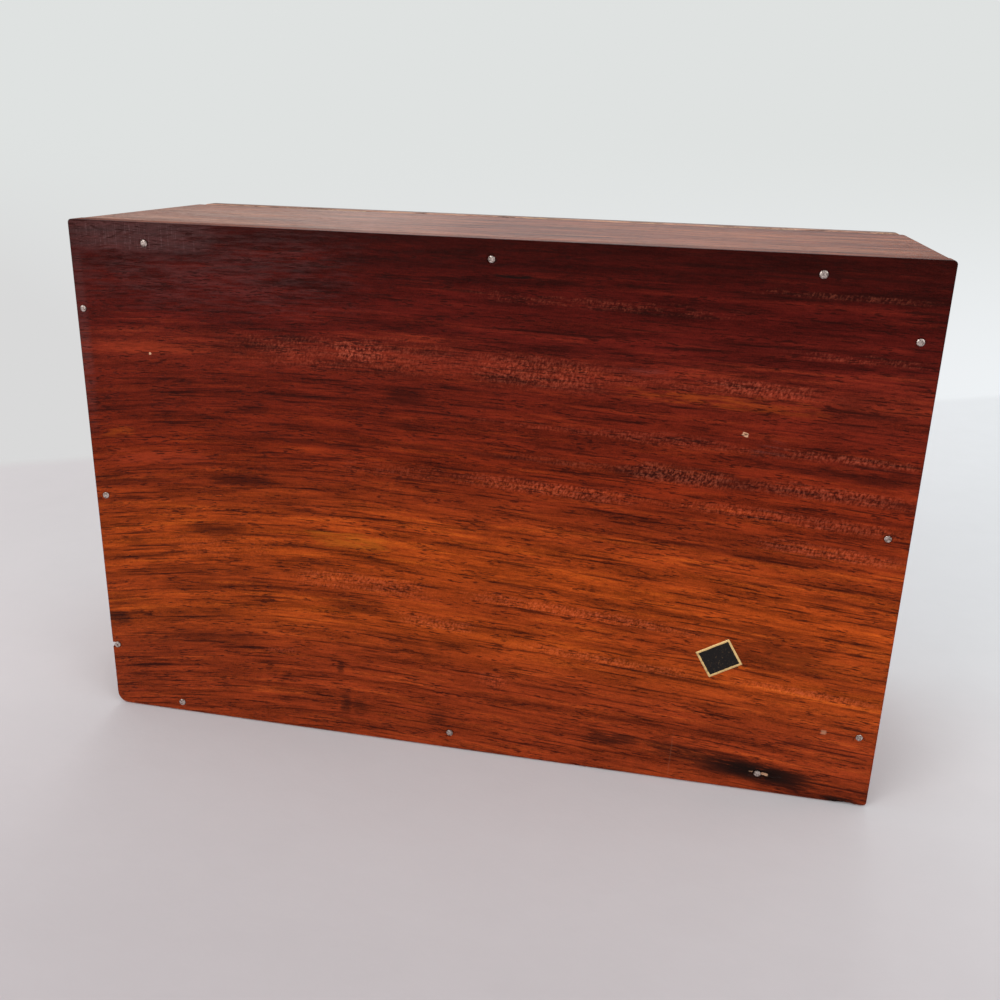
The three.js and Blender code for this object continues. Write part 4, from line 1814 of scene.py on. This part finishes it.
BACK_WALL_MARKS = (
    *inked(Ink.DARK, rows=((137, 148, 38, 40, 0.8),)),
    # Painted glare: these grey rows veil the whole back wall, most over its first 110 mm along,
    # partly a dull film and partly reflected light.
    *inked(Ink.FILM, follows=False, rows=((-80, 110, -20, 100, 0.85), (-80, 300, -20, 100, 0.4))),
    *inked(Ink.STAIN, follows=False, rows=((115.4, 118.8, 11.4, 12.6, 0.95),
           (113, 117, 14.6, 16, 0.4), (140.2, 141.4, 11.5, 12.4, 0.6))),
)


@dataclass
class Walls:
    """The four walls, lapped at the corners."""

    ease: float = 0.35 * MM

    def build(self) -> None:
        """Makes each wall from its solid, with eased edges."""
        low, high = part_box("bottom_panel")
        up, first, last = (0, 0, 1), (-high.x, -high.y, low.z), (high.x, high.y, low.z)
        self.wall("back_wall", Grain((-1, 0, 0), up, (0, -1, 0), last), 0.0, BACK_WALL_MARKS,
                  (1.04, 1.0))
        self.wall("front_wall", Grain((1, 0, 0), up, (0, 1, 0), first), 140.0)
        self.wall("left_wall", Grain((0, 1, 0), up, (1, 0, 0), first), 310.0)
        self.wall("right_wall", Grain((0, -1, 0), up, (-1, 0, 0), last), 520.0)

    def wall(self, node: str, grain: Grain, seed: float, marks: tuple[Mark, ...] = (),
             along_tone: Pair = (1.0, 1.0)) -> None:
        """Makes one wall.

        Args:
            node: The solid that it replaces.
            grain: How it lies in its wood.
            seed: How far along its wood it is cut, in millimetres.
            marks: Its own marks.
            along_tone: How light it is at its two ends.
        """
        low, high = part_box(node)
        # The walls' pale grey film colour is partly painted glare.
        wood = Rosewood(f"{node}_wood", grain, tuple(low), tuple(high), WALL_TONES,
                        (0.0, high.z / MM), None, marks, along_tone, seed, arris_dark=0.3,
                        rippling=2.5, film_and_glare=srgb(206, 190, 180), streaks=WALL_STREAKS,
                        scratches_and_glints=WALL_SCRATCHES_AND_GLINTS, swing=0.12)
        piece = soften(from_node(f"{node}_board", node), self.ease)
        dress(piece, Body.BOX, [node], wood.make())


# Carved lid


LID_TONES = (
    (0.0, srgb(119, 46, 30)), (0.3, srgb(139, 59, 34)), (0.6, srgb(114, 43, 27)),
    # The last stop is a painted highlight: a pale band along the lid's back edge, where its
    # rounding catches the light.
    (0.98, srgb(132, 55, 32)), (1.0, srgb(170, 128, 110)),
)


@dataclass(frozen=True)
class Leaf:
    """A carved leaf from one point to another, in shares of the field's half length and width.

    half is its half width as a share of its length, and bend bows it to one side.
    """

    start: Pair
    end: Pair
    half: float
    bend: float = 0.0

    def placed(self, size: Pair, side_x: int, side_y: int, height: float) -> tuple:
        """Works out where the leaf lies on the lid.

        Args:
            size: Half the field's length and width.
            side_x: 1, or -1 to mirror it along X.
            side_y: 1, or -1 to mirror it along Y.
            height: The leaf's height.

        Returns:
            Its start, middle, end, half width and height.
        """
        start = Vector((self.start[0] * size[0] * side_x, self.start[1] * size[1] * side_y))
        end = Vector((self.end[0] * size[0] * side_x, self.end[1] * size[1] * side_y))
        bow = Vector((start.y - end.y, end.x - start.x)) * self.bend * side_x * side_y
        half = (end - start).length * self.half
        return start, (start + end) / 2 + bow, end, half, height


QUARTER_LEAVES = (
    Leaf((0.81, 0.64), (0.95, 0.88), 0.25),
    Leaf((0.84, 0.6), (0.94, 0.27), 0.2, 0.12),
    Leaf((0.69, 0.78), (0.73, 0.42), 0.2, -0.12),
    Leaf((0.52, 0.74), (0.56, 0.36), 0.2, -0.12),
    Leaf((0.38, 0.66), (0.24, 0.89), 0.22, 0.14),
    Leaf((0.56, 0.86), (0.76, 0.9), 0.16, -0.06),
    Leaf((0.03, 0.62), (0.16, 0.88), 0.24, -0.14),
    Leaf((0.38, 0.1), (0.51, 0.3), 0.24, 0.12),
    Leaf((0.34, 0.54), (0.45, 0.38), 0.22, 0.1),
)
END_LEAVES = (Leaf((0.37, 0.0), (0.53, 0.0), 0.24), Leaf((0.87, 0.0), (0.97, 0.0), 0.26))
SIDE_LEAVES = (Leaf((0.0, 0.61), (0.0, 0.91), 0.25),)
QUARTER_STEM = ((0.27, 0.34), (0.42, 0.9), (0.66, 0.92), (0.81, 0.64))


@dataclass
class CarvedLid:
    """The lid: a board with a sunk field, in which leaves, petals, stems and a ring stand."""

    border: float = 11.0 * MM
    depth: float = 2.6 * MM
    slope: float = 1.6 * MM
    corner_radius: float = 3.0 * MM
    edge_radius: float = 3.0 * MM
    field_corner: float = 9.0 * MM
    ring_radius: float = 35.0 * MM
    ring_half: float = 1.7 * MM
    ring_height: float = 1.9 * MM
    boss_radius: float = 6.5 * MM
    side_boss_radius: float = 3.2 * MM
    boss_height: float = 2.5 * MM
    boss_flatness: float = 0.7
    boss_ripple: float = 0.16 * MM
    boss_ripples: float = 15.0
    petal_half: float = 6.2 * MM
    petal_height: float = 2.35 * MM
    small_petal_half: float = 3.0 * MM
    small_petal_height: float = 1.5 * MM
    side_flower_radius: float = 15.0 * MM
    side_flower_share: float = 0.7
    side_petal_half: float = 4.2 * MM
    leaf_height: float = 2.25 * MM
    stem_half: float = 1.1 * MM
    stem_height: float = 1.7 * MM
    ring_twist: float = 0.32 * MM
    stem_twist: float = 0.1 * MM
    root: float = 0.6 * MM
    petals: int = 8
    side_petals: int = 6
    ground_spacing: float = 0.85 * MM
    groove_inset: float = 4.6 * MM
    groove_width: float = 0.6 * MM
    groove_depth: float = 0.35 * MM
    low: Vector = field(default_factory=lambda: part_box("lid_board")[0])
    high: Vector = field(default_factory=lambda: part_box("lid_board")[1])

    def __post_init__(self) -> None:
        """Works out the field's half size and its floor."""
        self.size = (self.high.x - self.border, self.high.y - self.border)
        self.floor = self.high.z - self.depth

    def build(self) -> None:
        """Makes the board and its carving."""
        self.wood = self.finish("lid_wood_finish", 0.45)
        ground = self.ground(self.finish("lid_ground_finish", 0.8))
        solids = [self.board(), *self.bosses()]
        for solid in solids:
            solid.data.materials.clear()
            solid.data.materials.append(self.wood)
        lid = joined("carved_lid", [solids[0], ground, self.leaves(), *self.paths(), *solids[1:]])
        shade(lid, 42)
        weighted(lid, True)
        dress(lid, Body.LID, ["lid_board"])

    def finish(self, name: str, sunk: float) -> Material:
        """Gives the lid's wood, which is darker where it is sunk.

        Args:
            name: The material's name.
            sunk: How much darker it is there.

        Returns:
            The material.
        """
        grain = Grain((1, 0, 0), (0, 1, 0), (0, 0, 1), tuple(self.low))
        width = (self.high.y - self.low.y) / MM
        wood = Rosewood(name, grain, tuple(self.low), tuple(self.high), LID_TONES, (0.0, width),
                        seed=730.0, figure=0.35, worn=srgb(128, 104, 80), sunk=sunk,
                        sunk_span=(self.floor - 0.1 * MM, self.floor + 1.4 * MM))
        return wood.make()

    def outline(self, inset: float, radius: float, steps: int = 8) -> list[Pair]:
        """Gives the board's outline, drawn in by an inset.

        Args:
            inset: How far it is drawn in.
            radius: The radius of its corners.
            steps: Steps in each corner.

        Returns:
            The outline, anticlockwise.
        """
        x, y = self.high.x - inset, self.high.y - inset
        corners = [(x, y, radius), (-x, y, radius), (-x, -y, radius), (x, -y, radius)]
        return arc_outline(corners, steps)

    def board(self) -> Piece:
        """Makes the board with its rounded top edge, the field's opening and the hinge rooms.

        Returns:
            The board.
        """
        low_ease, steps = 0.25 * MM, 8
        levels = [(low_ease, self.low.z), (0.0, self.low.z + low_ease)]
        for step in range(steps + 1):
            angle = step / steps * math.pi / 2
            levels.append((self.edge_radius * (1 - math.cos(angle)),
                           self.high.z - self.edge_radius * (1 - math.sin(angle))))
        rings = [[(x, y, z) for x, y in self.outline(inset, self.corner_radius)]
                 for inset, z in levels]
        board = ringed("lid_board_wood", rings)
        return cut(board, [self.field_cutter(), self.groove(), *hinge_cutters()])

    def field_cutter(self) -> Piece:
        """Makes the cutter of the field's opening."""
        outline = self.outline(self.border, self.field_corner, 12)
        return prism("field_cutter", outline, self.floor - self.root, self.high.z + self.root)

    def groove(self) -> Piece:
        """Makes the cutter of the fine line cut round the border.

        Returns:
            The cutter.
        """
        outer = self.outline(self.groove_inset, self.field_corner / 2, 10)
        inner = self.outline(self.groove_inset + self.groove_width,
                             self.field_corner / 2 - self.groove_width, 10)
        low, high = self.high.z - self.groove_depth, self.high.z + self.root
        count = len(outer)
        vertices = [(x, y, z) for z in (low, high) for ring in (outer, inner) for x, y in ring]
        faces = []
        for i in range(count):
            j = (i + 1) % count
            faces += [(i, j, j + 2 * count, i + 2 * count),
                      (j + count, i + count, i + 3 * count, j + 3 * count),
                      (j, i, i + count, j + count),
                      (i + 2 * count, j + 2 * count, j + 3 * count, i + 3 * count)]
        return from_faces("groove", vertices, faces)

    def ground(self, material: Material) -> Piece:
        """Makes the sunk ground with its punch marks and sloping sides, with Geometry Nodes.

        Args:
            material: Its material.

        Returns:
            The ground, closed below.
        """
        margin = 1.0 * MM
        reach_x, reach_y = (half + margin for half in self.size)
        rule = Rule("carved_ground")
        depth = rule.size("Field Depth", self.depth)
        slope = rule.size("Field Slope", self.slope)
        corner = rule.size("Corner Radius", self.field_corner)
        punch = rule.size("Punch Depth", 0.22 * MM)
        cell = rule.size("Punch Spacing", 1.9 * MM)
        uneven = rule.size("Unevenness", 0.25 * MM)
        hollow = rule.size("Wave Frequency", 0.16 / MM)
        lip = rule.size("Lip Depth", 0.04 * MM)
        counts = (rule.size("Columns", round(2 * reach_x / self.ground_spacing)),
                  rule.size("Rows", round(2 * reach_y / self.ground_spacing)))
        flat = rule.grid((2 * reach_x, 2 * reach_y), counts)
        x, y, _ = rule.split(rule.place())
        over_x = rule.math("ABSOLUTE", x) - (self.size[0] - corner)
        over_y = rule.math("ABSOLUTE", y) - (self.size[1] - corner)
        round_x, round_y = (rule.most(over, 0.0) for over in (over_x, over_y))
        reach = rule.math("SQRT", round_x * round_x + round_y * round_y)
        outside = reach + rule.least(rule.most(over_x, over_y), 0.0) - corner
        share = rule.limit(1 + outside / slope, 0.0, 1.0)
        sunk = 1 - share * share * (3 - 2 * share)
        cells = {"Vector": rule.place(), "Scale": 1 / cell, "Randomness": 0.55}
        dots = rule.apply("ShaderNodeTexVoronoi", cells, "Distance")
        wave = rule.noise(rule.scaled(rule.place(), hollow), 2.0)
        dimple = rule.smooth(dots, 0.42, 0.1) * punch + wave * uneven
        z = self.high.z - lip - depth * sunk - dimple * sunk
        values = {"Geometry": rule.moved(flat, rule.combine(x, y, z)),
                  "Selection": rule.math("GREATER_THAN", outside, margin * 0.9)}
        kept = rule.apply("GeometryNodeDeleteGeometry", values)
        sheet = rule.finish(kept, material, "ground", from_faces("ground_source", [(0, 0, 0)]))
        self.close_below(sheet)
        return sheet

    def close_below(self, sheet: Piece) -> None:
        """Closes a sheet with a skirt round its rim and a flat underside, inside the board.

        Args:
            sheet: The sheet.
        """
        bottom = self.floor - self.root * 0.97
        with edited(sheet.data) as shell:
            skirt = bmesh.ops.extrude_edge_only(shell, edges=open_rim(shell))["geom"]
            for item in skirt:
                if isinstance(item, bmesh.types.BMVert):
                    item.co.z = bottom
            bmesh.ops.edgeloop_fill(shell, edges=open_rim(shell))
            bmesh.ops.recalc_face_normals(shell, faces=shell.faces)

    def leaf_rows(self) -> list[tuple]:
        """Lists every leaf and petal of the lid.

        Returns:
            Each one's start, middle, end, half width and height.
        """
        both = (1, -1)
        spots = [(leaf, x, y) for leaf in QUARTER_LEAVES for x in both for y in both]
        spots += [(leaf, x, 1) for leaf in END_LEAVES for x in both]
        spots += [(leaf, 1, y) for leaf in SIDE_LEAVES for y in both]
        rows = [leaf.placed(self.size, x, y, self.leaf_height) for leaf, x, y in spots]
        rows += self.flower(0.0, self.ring_radius, (0.15, 0.86), self.petal_half,
                            self.petal_height, self.petals, 0.0)
        rows += self.flower(0.0, self.ring_radius, (0.58, 0.93), self.small_petal_half,
                            self.small_petal_height, self.petals, 0.5)
        for side in both:
            middle = side * self.side_flower_share * self.size[0]
            rows += self.flower(middle, self.side_flower_radius, (0.16, 1.0),
                                self.side_petal_half, self.petal_height, self.side_petals, 0.5)
        return rows

    def flower(self, middle: float, radius: float, reach: Pair, half: float, height: float,
               count: int, turn: float) -> list[tuple]:
        """Lists the petals of one flower.

        Args:
            middle: X of its middle.
            radius: Its radius.
            reach: Where its petals start and end, in shares of the radius.
            half: Their half width.
            height: Their height.
            count: How many there are.
            turn: The turn of the first, as a share of one step.

        Returns:
            A row for each petal.
        """
        rows = []
        for petal in range(count):
            angle = (petal + turn) / count * 2 * math.pi
            direction = Vector((math.cos(angle), math.sin(angle)))
            start, end = (Vector((middle, 0)) + direction * share * radius for share in reach)
            rows.append((start, (start + end) / 2, end, half, height))
        return rows

    def leaves(self) -> Piece:
        """Carves the leaves and petals, with Geometry Nodes.

        Returns:
            The leaves and petals, as one object.
        """
        starts, middles, ends, halves, heights = zip(*self.leaf_rows())
        cloud = point_cloud("leaf_points", start=[(*p, 0) for p in starts],
                            middle=[(*p, 0) for p in middles], end=[(*p, 0) for p in ends],
                            half=halves, height=heights)
        rule = Rule("carved_leaves")
        floor = rule.size("Ground Level", self.floor)
        root = rule.size("Root Depth", self.root)
        vein = rule.size("Vein Depth", 0.5 * MM)
        rib = rule.size("Rib Spacing", 2.1 * MM)
        rib_share = rule.size("Rib Depth Share", 0.45)
        rib_lean = rule.size("Rib Lean", 0.9)
        dish_share = rule.size("Dish Depth Share", 0.5)
        low_share = rule.size("Tip Height Share", 0.55)
        fullness = rule.size("Outline Fullness", 0.85)
        roundness = rule.size("Section Roundness", 0.45)
        unit = rule.grid((1.0, 2.0), (rule.size("Points Along", 27),
                                      rule.size("Points Across", 19)))
        spread = rule.real(rule.on_points(unit))
        x, side, _ = rule.split(rule.place())
        share = x + 0.5
        rest = 1 - share
        start, middle, end = map(rule.vector, ("start", "middle", "end"))
        half, height = rule.number("half"), rule.number("height")
        place = rule.vector_math("ADD", rule.scaled(start, rest * rest),
                                 rule.scaled(middle, share * rest * 2))
        place = rule.vector_math("ADD", place, rule.scaled(end, share * share))
        first = rule.vector_math("SUBTRACT", middle, start)
        second = rule.vector_math("SUBTRACT", end, middle)
        tangent = rule.vector_math("ADD", rule.scaled(first, rest), rule.scaled(second, share))
        tangent_x, tangent_y, _ = rule.split(rule.vector_math("NORMALIZE", tangent))
        belly = rule.math("SINE", share ** 0.8 * math.pi)
        width = half * rule.most(belly, 0.0) ** fullness
        angle = rule.limit(side * 1.125, -1.0, 1.0) * (math.pi / 2)
        under = rule.math("GREATER_THAN", rule.math("ABSOLUTE", side), 0.95)
        offset = width * (rule.math("SINE", angle) * (1 - under))
        distance = rule.math("ABSOLUTE", offset)
        cap = rule.most(rule.math("COSINE", angle), 0.0) ** roundness
        length = rule.vector_math("LENGTH", rule.vector_math("SUBTRACT", end, start), output=1)
        groove = rule.smooth(distance, 0.55 * MM, 0.0) * vein
        ribs = rule.math("COSINE", (share * length - distance * rib_lean) / rib * (2 * math.pi))
        ribs = (ribs * 0.5 + 0.5) * rule.smooth(distance, 0.4 * MM, 1.3 * MM) * vein * rib_share
        crown = low_share + rule.math("SINE", share * math.pi) * (1 - low_share)
        dish = rule.smooth(distance / rule.most(width, TINY), 0.75, 0.1) * vein * dish_share
        z = floor - root + cap * (height * crown + root) - (groove + ribs + dish) * cap
        x, y, _ = rule.split(place)
        bent = rule.combine(x - tangent_y * offset, y + tangent_x * offset, z)
        carved = rule.merged(rule.moved(spread, bent), 2 * TINY)
        return rule.finish(carved, self.wood, "leaves", cloud)

    def paths(self) -> list[Piece]:
        """Carves the twisted ring and the four stems, with Geometry Nodes.

        Returns:
            The ring and the stems.
        """
        ring = self.sweep("ring", self.ring_points(), True, self.ring_half, self.ring_height,
                          self.ring_twist)
        return [ring, *(self.sweep(f"stem_{number}", points, False, self.stem_half,
                                   self.stem_height, self.stem_twist)
                        for number, points in enumerate(self.stem_points()))]

    def ring_points(self) -> list[Point]:
        """Gives the middle line of the ring.

        Returns:
            The points.
        """
        count = 220
        return [(self.ring_radius * math.cos(2 * math.pi * step / count),
                 self.ring_radius * math.sin(2 * math.pi * step / count), self.floor)
                for step in range(count)]

    def stem_points(self) -> list[list[Point]]:
        """Gives the middle line of each stem.

        Returns:
            The points of each stem.
        """
        steps, lines = 60, []
        for side_x, side_y in ((1, 1), (1, -1), (-1, 1), (-1, -1)):
            knots = [Vector((x * self.size[0] * side_x, y * self.size[1] * side_y))
                     for x, y in QUARTER_STEM]
            line = []
            for step in range(steps + 1):
                share = step / steps
                rest = 1 - share
                weights = (rest ** 3, 3 * rest * rest * share, 3 * rest * share * share,
                           share ** 3)
                point = sum((knot * weight for knot, weight in zip(knots, weights)),
                            Vector((0, 0)))
                line.append((point.x, point.y, self.floor))
            lines.append(line)
        return lines

    def sweep(self, name: str, points: list[Point], closed: bool, half: float, height: float,
              twist: float) -> Piece:
        """Carves a raised cord along a line.

        Args:
            name: The part's name.
            points: Its middle line, on the ground.
            closed: Whether the line closes on itself.
            half: The cord's half width.
            height: Its height above the ground.
            twist: How deep the twisted cuts on it are.

        Returns:
            The part.
        """
        edges = [(i, i + 1) for i in range(len(points) - 1)]
        if closed:
            edges.append((len(points) - 1, 0))
        source = from_faces(f"{name}_line", points, (), edges)
        rule = Rule(f"carved_{name}")
        cord_half = rule.size("Half Width", half)
        cord_height = rule.size("Height", height)
        cut_depth = rule.size("Twist Depth", twist)
        pitch = rule.size("Twist Pitch", 3.4 * MM)
        lean = rule.size("Twist Lean", 1.9)
        flatness = rule.size("Crown Flatness", 0.7)
        root = rule.size("Root Depth", self.root)
        line = rule.apply("GeometryNodeMeshToCurve", {"Mesh": rule.source()})
        line = rule.stored(line, "run", rule.apply("GeometryNodeSplineParameter", {}, "Length"))
        tangent = rule.apply("GeometryNodeInputTangent", {})
        line = rule.stored(line, "heading", tangent, "FLOAT_VECTOR")
        line = rule.stored(line, "centre", rule.place(), "FLOAT_VECTOR")
        values = {"Resolution": 16, "Radius": 1.0}
        profile = rule.apply("GeometryNodeCurvePrimitiveCircle", values, "Curve")
        around = rule.apply("GeometryNodeSplineParameter", {}, "Factor")
        profile = rule.stored(profile, "round", around)
        values = {"Curve": line, "Profile Curve": profile, "Fill Caps": True}
        cord = rule.apply("GeometryNodeCurveToMesh", values)
        phase = rule.number("round") * (2 * math.pi)
        up, sideways = rule.math("SINE", phase), rule.math("COSINE", phase)
        heading_x, heading_y, _ = rule.split(rule.vector("heading"))
        x, y, z = rule.split(rule.vector("centre"))
        twisted = rule.math("COSINE", rule.number("run") / pitch * (2 * math.pi) + sideways * lean)
        swell = cut_depth * (twisted * 0.5 - 0.5)
        reach = sideways * (cord_half + swell * 0.5)
        crown = rule.most(up, 0.0) ** flatness * (cord_height + swell)
        below = rule.least(up, 0.0) * root
        place = rule.combine(x - heading_y * reach, y + heading_x * reach, z + crown + below)
        return rule.finish(rule.moved(cord, place), self.wood, name, source)

    def bosses(self) -> list[Piece]:
        """Carves the round bosses in the middles of the flowers.

        Returns:
            The bosses.
        """
        middles = [(0.0, self.boss_radius)]
        middles += [(side * self.side_flower_share * self.size[0], self.side_boss_radius)
                    for side in (1, -1)]
        steps, made = 24, []
        for number, (x, radius) in enumerate(middles):
            profile = [(0, -self.root), (radius, -self.root)]
            for step in range(1, steps + 1):
                share = step / steps
                angle = share * math.pi / 2
                ripple = self.boss_ripple * math.sin(share * self.boss_ripples) * (1 - share)
                profile.append((radius * math.cos(angle) if step < steps else 0,
                                self.boss_height * math.sin(angle) ** self.boss_flatness
                                + ripple))
            made.append(turned(f"boss_{number}", profile, 48, (x, 0.0, self.floor)))
        return made


# Hinges


class Side(Enum):
    """The side of the seam that a leaf lies on."""

    BODY = "body"
    LID = "lid"

    def direction(self) -> int:
        """Gives -1 below the seam and 1 above it."""
        return -1 if self is Side.BODY else 1

    def carrier(self) -> Body:
        """Gives the body that carries the leaf."""
        return Body.BOX if self is Side.BODY else Body.LID


@dataclass(frozen=True)
class HingeSizes:
    """Sizes shared by both hinges and by the rooms cut for them in the lid."""

    knuckle_radius: float = 1.5 * MM
    pin_radius: float = 0.6 * MM
    gap: float = 0.3 * MM
    seam_gap: float = 0.3 * MM
    leaf_thickness: float = 0.9 * MM
    leaf_reach: float = 7.4 * MM
    end_knuckle_share: float = 0.32
    nail_radius: float = 1.1 * MM
    nail_place_share: float = 0.3
    nail_sunk: float = 0.12 * MM
    bore_play: float = 0.1 * MM
    sink_play: float = 0.15 * MM
    sink_point_share: float = 0.45
    sink_depth_share: float = 1.2
    bevel_half_angle: float = math.radians(105) / 2
    overrun: float = 2.0 * MM


HINGE = HingeSizes()
HINGE_NAMES = ("left", "right")


def hinge_axis() -> Vector:
    """Gives the middle of the hinge joint's axis."""
    joint = next(joint for joint in frame["joints"] if joint["name"] == "lid_hinge")
    return Vector(joint["pos_m"])


def hinge_span(name: str) -> Pair:
    """Gives where a hinge starts and ends along X."""
    low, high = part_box(f"{name}_hinge_pin")
    return low.x, high.x


def hinge_cutters() -> list[Piece]:
    """Makes what is cut from the lid for the hinges.

    Returns:
        The cutters: the bevel along the back, and a bed and a channel for each hinge.
    """
    axis = hinge_axis()
    made = [bevel_cutter(axis)]
    low = axis.z + (HINGE.seam_gap / 2 - HINGE.overrun)
    high = axis.z + (HINGE.seam_gap / 2 + HINGE.leaf_thickness)
    radius = HINGE.knuckle_radius + HINGE.gap
    for name in HINGE_NAMES:
        start, end = hinge_span(name)
        start, end = start - HINGE.gap, end + HINGE.gap
        made.append(block("bed", (start, axis.y - HINGE.leaf_reach - HINGE.gap, low),
                          (end, axis.y, high)))
        half = (end - start) / 2
        channel = turned("channel", [(0, -half), (radius, -half), (radius, half), (0, half)], 24)
        made.append(along_x(channel, ((start + end) / 2, axis.y, axis.z)))
    return made


def bevel_cutter(axis: Vector) -> Piece:
    """Makes the cutter of the bevel along the back of the lid's seam.

    Args:
        axis: The middle of the hinge axis.

    Returns:
        The cutter.
    """
    reach = HINGE.knuckle_radius + HINGE.overrun
    rise = reach * math.tan(HINGE.bevel_half_angle)
    level = axis.z + HINGE.seam_gap / 2
    profile = [(axis.y, level), (axis.y, level - HINGE.overrun),
               (axis.y + reach, level - HINGE.overrun), (axis.y + reach, level + rise)]
    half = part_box("bottom_panel")[1].x + HINGE.overrun
    vertices = [(x, y, z) for x in (-half, half) for y, z in profile]
    faces = [(0, 1, 2, 3), (7, 6, 5, 4), (0, 4, 5, 1), (1, 5, 6, 2), (2, 6, 7, 3), (3, 7, 4, 0)]
    made = from_faces("bevel", vertices, faces)
    with edited(made.data) as shell:
        bmesh.ops.recalc_face_normals(shell, faces=shell.faces)
    return made


@dataclass
class Hinge:
    """One small brass butt hinge, let in flush."""

    name: str
    material: Material
    ease: float = 0.12 * MM

    def build(self) -> None:
        """Makes the pin and both leaves with their nails."""
        self.axis = hinge_axis()
        self.start, self.end = hinge_span(self.name)
        self.middle = (self.start + self.end) / 2
        self.pin()
        for side in Side:
            self.leaf(side)
            self.nails(side)

    def tube(self, name: str, span: Pair, radius: float) -> Piece:
        """Makes a rod along the axis, with eased ends.

        Args:
            name: The rod's name.
            span: Where it starts and ends along X.
            radius: Its radius.

        Returns:
            The rod.
        """
        half = (span[1] - span[0]) / 2
        ease = min(self.ease, radius / 3)
        profile = [(0, -half), (radius - ease, -half), (radius, -half + ease),
                   (radius, half - ease), (radius - ease, half), (0, half)]
        rod = turned(name, profile, 32)
        return along_x(rod, ((span[0] + span[1]) / 2, self.axis.y, self.axis.z))

    def pin(self) -> None:
        """Makes the pin."""
        rod = self.tube(f"hinge_pin_{self.name}", (self.start, self.end), HINGE.pin_radius)
        shade(rod, 40)
        dress(rod, Body.BOX, [f"{self.name}_hinge_pin"], self.material)

    def spans(self, side: Side) -> list[Pair]:
        """Gives where the leaf's knuckles start and end along X.

        Args:
            side: The leaf's side of the seam.

        Returns:
            The start and end of each knuckle.
        """
        inner = (self.end - self.start) * (0.5 - HINGE.end_knuckle_share)
        if side is Side.BODY:
            return [(self.start, self.middle - inner), (self.middle + inner, self.end)]
        return [(self.middle - inner + HINGE.gap, self.middle + inner - HINGE.gap)]

    def leaf(self, side: Side) -> None:
        """Makes one leaf: its plate, its knuckles and the countersinks.

        Args:
            side: The leaf's side of the seam.
        """
        way = side.direction()
        low, high = sorted((self.axis.z + way * HINGE.seam_gap / 2,
                            self.axis.z + way * (HINGE.seam_gap / 2 + HINGE.leaf_thickness)))
        back = self.axis.y - HINGE.leaf_reach
        front = self.axis.y - HINGE.knuckle_radius - HINGE.gap
        plate = block(f"hinge_leaf_{side.value}_{self.name}", (self.start, back, low),
                      (self.end, front, high))
        parts = []
        for number, span in enumerate(self.spans(side)):
            parts += [block(f"web_{number}", (span[0], back + MM, low),
                            (span[1], self.axis.y, high)),
                      self.tube(f"knuckle_{number}", span, HINGE.knuckle_radius)]
        made = combined(plate, parts, "UNION")
        bore = self.tube("bore", (self.start - MM, self.end + MM),
                         HINGE.pin_radius + HINGE.bore_play)
        made = cut(made, [bore, *self.countersinks(side)])
        soften(made, self.ease, 2, 45)
        dress(made, side.carrier(), [f"{self.name}_hinge_{side.value}_leaf"],
              self.material)

    def nail_places(self) -> list[Point]:
        """Gives the middle of each nail at the seam.

        Returns:
            The two places.
        """
        y = self.axis.y - (HINGE.leaf_reach + HINGE.knuckle_radius + HINGE.gap) / 2
        reach = HINGE.nail_place_share * (self.end - self.start)
        return [(self.middle - reach, y, self.axis.z), (self.middle + reach, y, self.axis.z)]

    def countersinks(self, side: Side) -> list[Piece]:
        """Makes the cones that the nail heads sit in.

        Args:
            side: The leaf's side of the seam.

        Returns:
            The cones.
        """
        way = side.direction()
        face = way * HINGE.seam_gap / 2
        radius = HINGE.nail_radius + HINGE.sink_play
        deep = way * (HINGE.seam_gap / 2 + HINGE.leaf_thickness * HINGE.sink_depth_share)
        profile = [(0, face - way * MM), (radius, face - way * MM), (radius, face),
                   (radius * HINGE.sink_point_share, deep), (0, deep)]
        if way < 0:
            profile.reverse()
        return [turned(f"sink_{number}", profile, 20, place)
                for number, place in enumerate(self.nail_places())]

    def nails(self, side: Side) -> None:
        """Sets two small countersunk heads in the leaf, with Geometry Nodes.

        Args:
            side: The leaf's side of the seam.
        """
        way = side.direction()
        rise = way * (HINGE.seam_gap / 2 + HINGE.nail_sunk)
        where = [(x, y, z + rise) for x, y, z in self.nail_places()]
        rule = Rule("hinge_nail_heads")
        radius = rule.size("Head Radius", HINGE.nail_radius)
        dome = rule.size("Dome Height", 0.1 * MM)
        depth = rule.size("Head Depth", 0.7 * MM)
        ball = rule.ball(24, 12)
        x, y, z = rule.split(rule.place())
        level = rule.most(z, 0.0) * dome + rule.least(z, 0.0) * depth
        head = rule.moved(ball, rule.combine(x * radius, y * radius, level * (-way)))
        heads = rule.on_points(head)
        if way > 0:
            heads = rule.apply("GeometryNodeFlipFaces", {"Mesh": rule.real(heads)})
        piece = rule.finish(heads, self.material, f"hinge_nails_{side.value}_{self.name}",
                            from_faces("hinge_nail_points", where))
        nodes = [f"{self.name}_hinge_{side.value}_nail_{number}" for number in (1, 2)]
        dress(piece, side.carrier(), nodes)


def main() -> None:
    """Builds the camera, the stage and the box."""
    logging.basicConfig(level=logging.INFO, format="%(message)s")
    cad_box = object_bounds()
    Camera().build()
    Studio().build(*cad_box)
    BottomPanel().build()
    Walls().build()
    CarvedLid().build()
    brass = Metal("hinge_brass_finish", srgb(214, 178, 104), srgb(112, 84, 44), (0.28, 0.5), 1.1)
    brass_material = brass.make()
    for name in HINGE_NAMES:
        Hinge(name, brass_material).build()


if __name__ == "__main__":
    main()
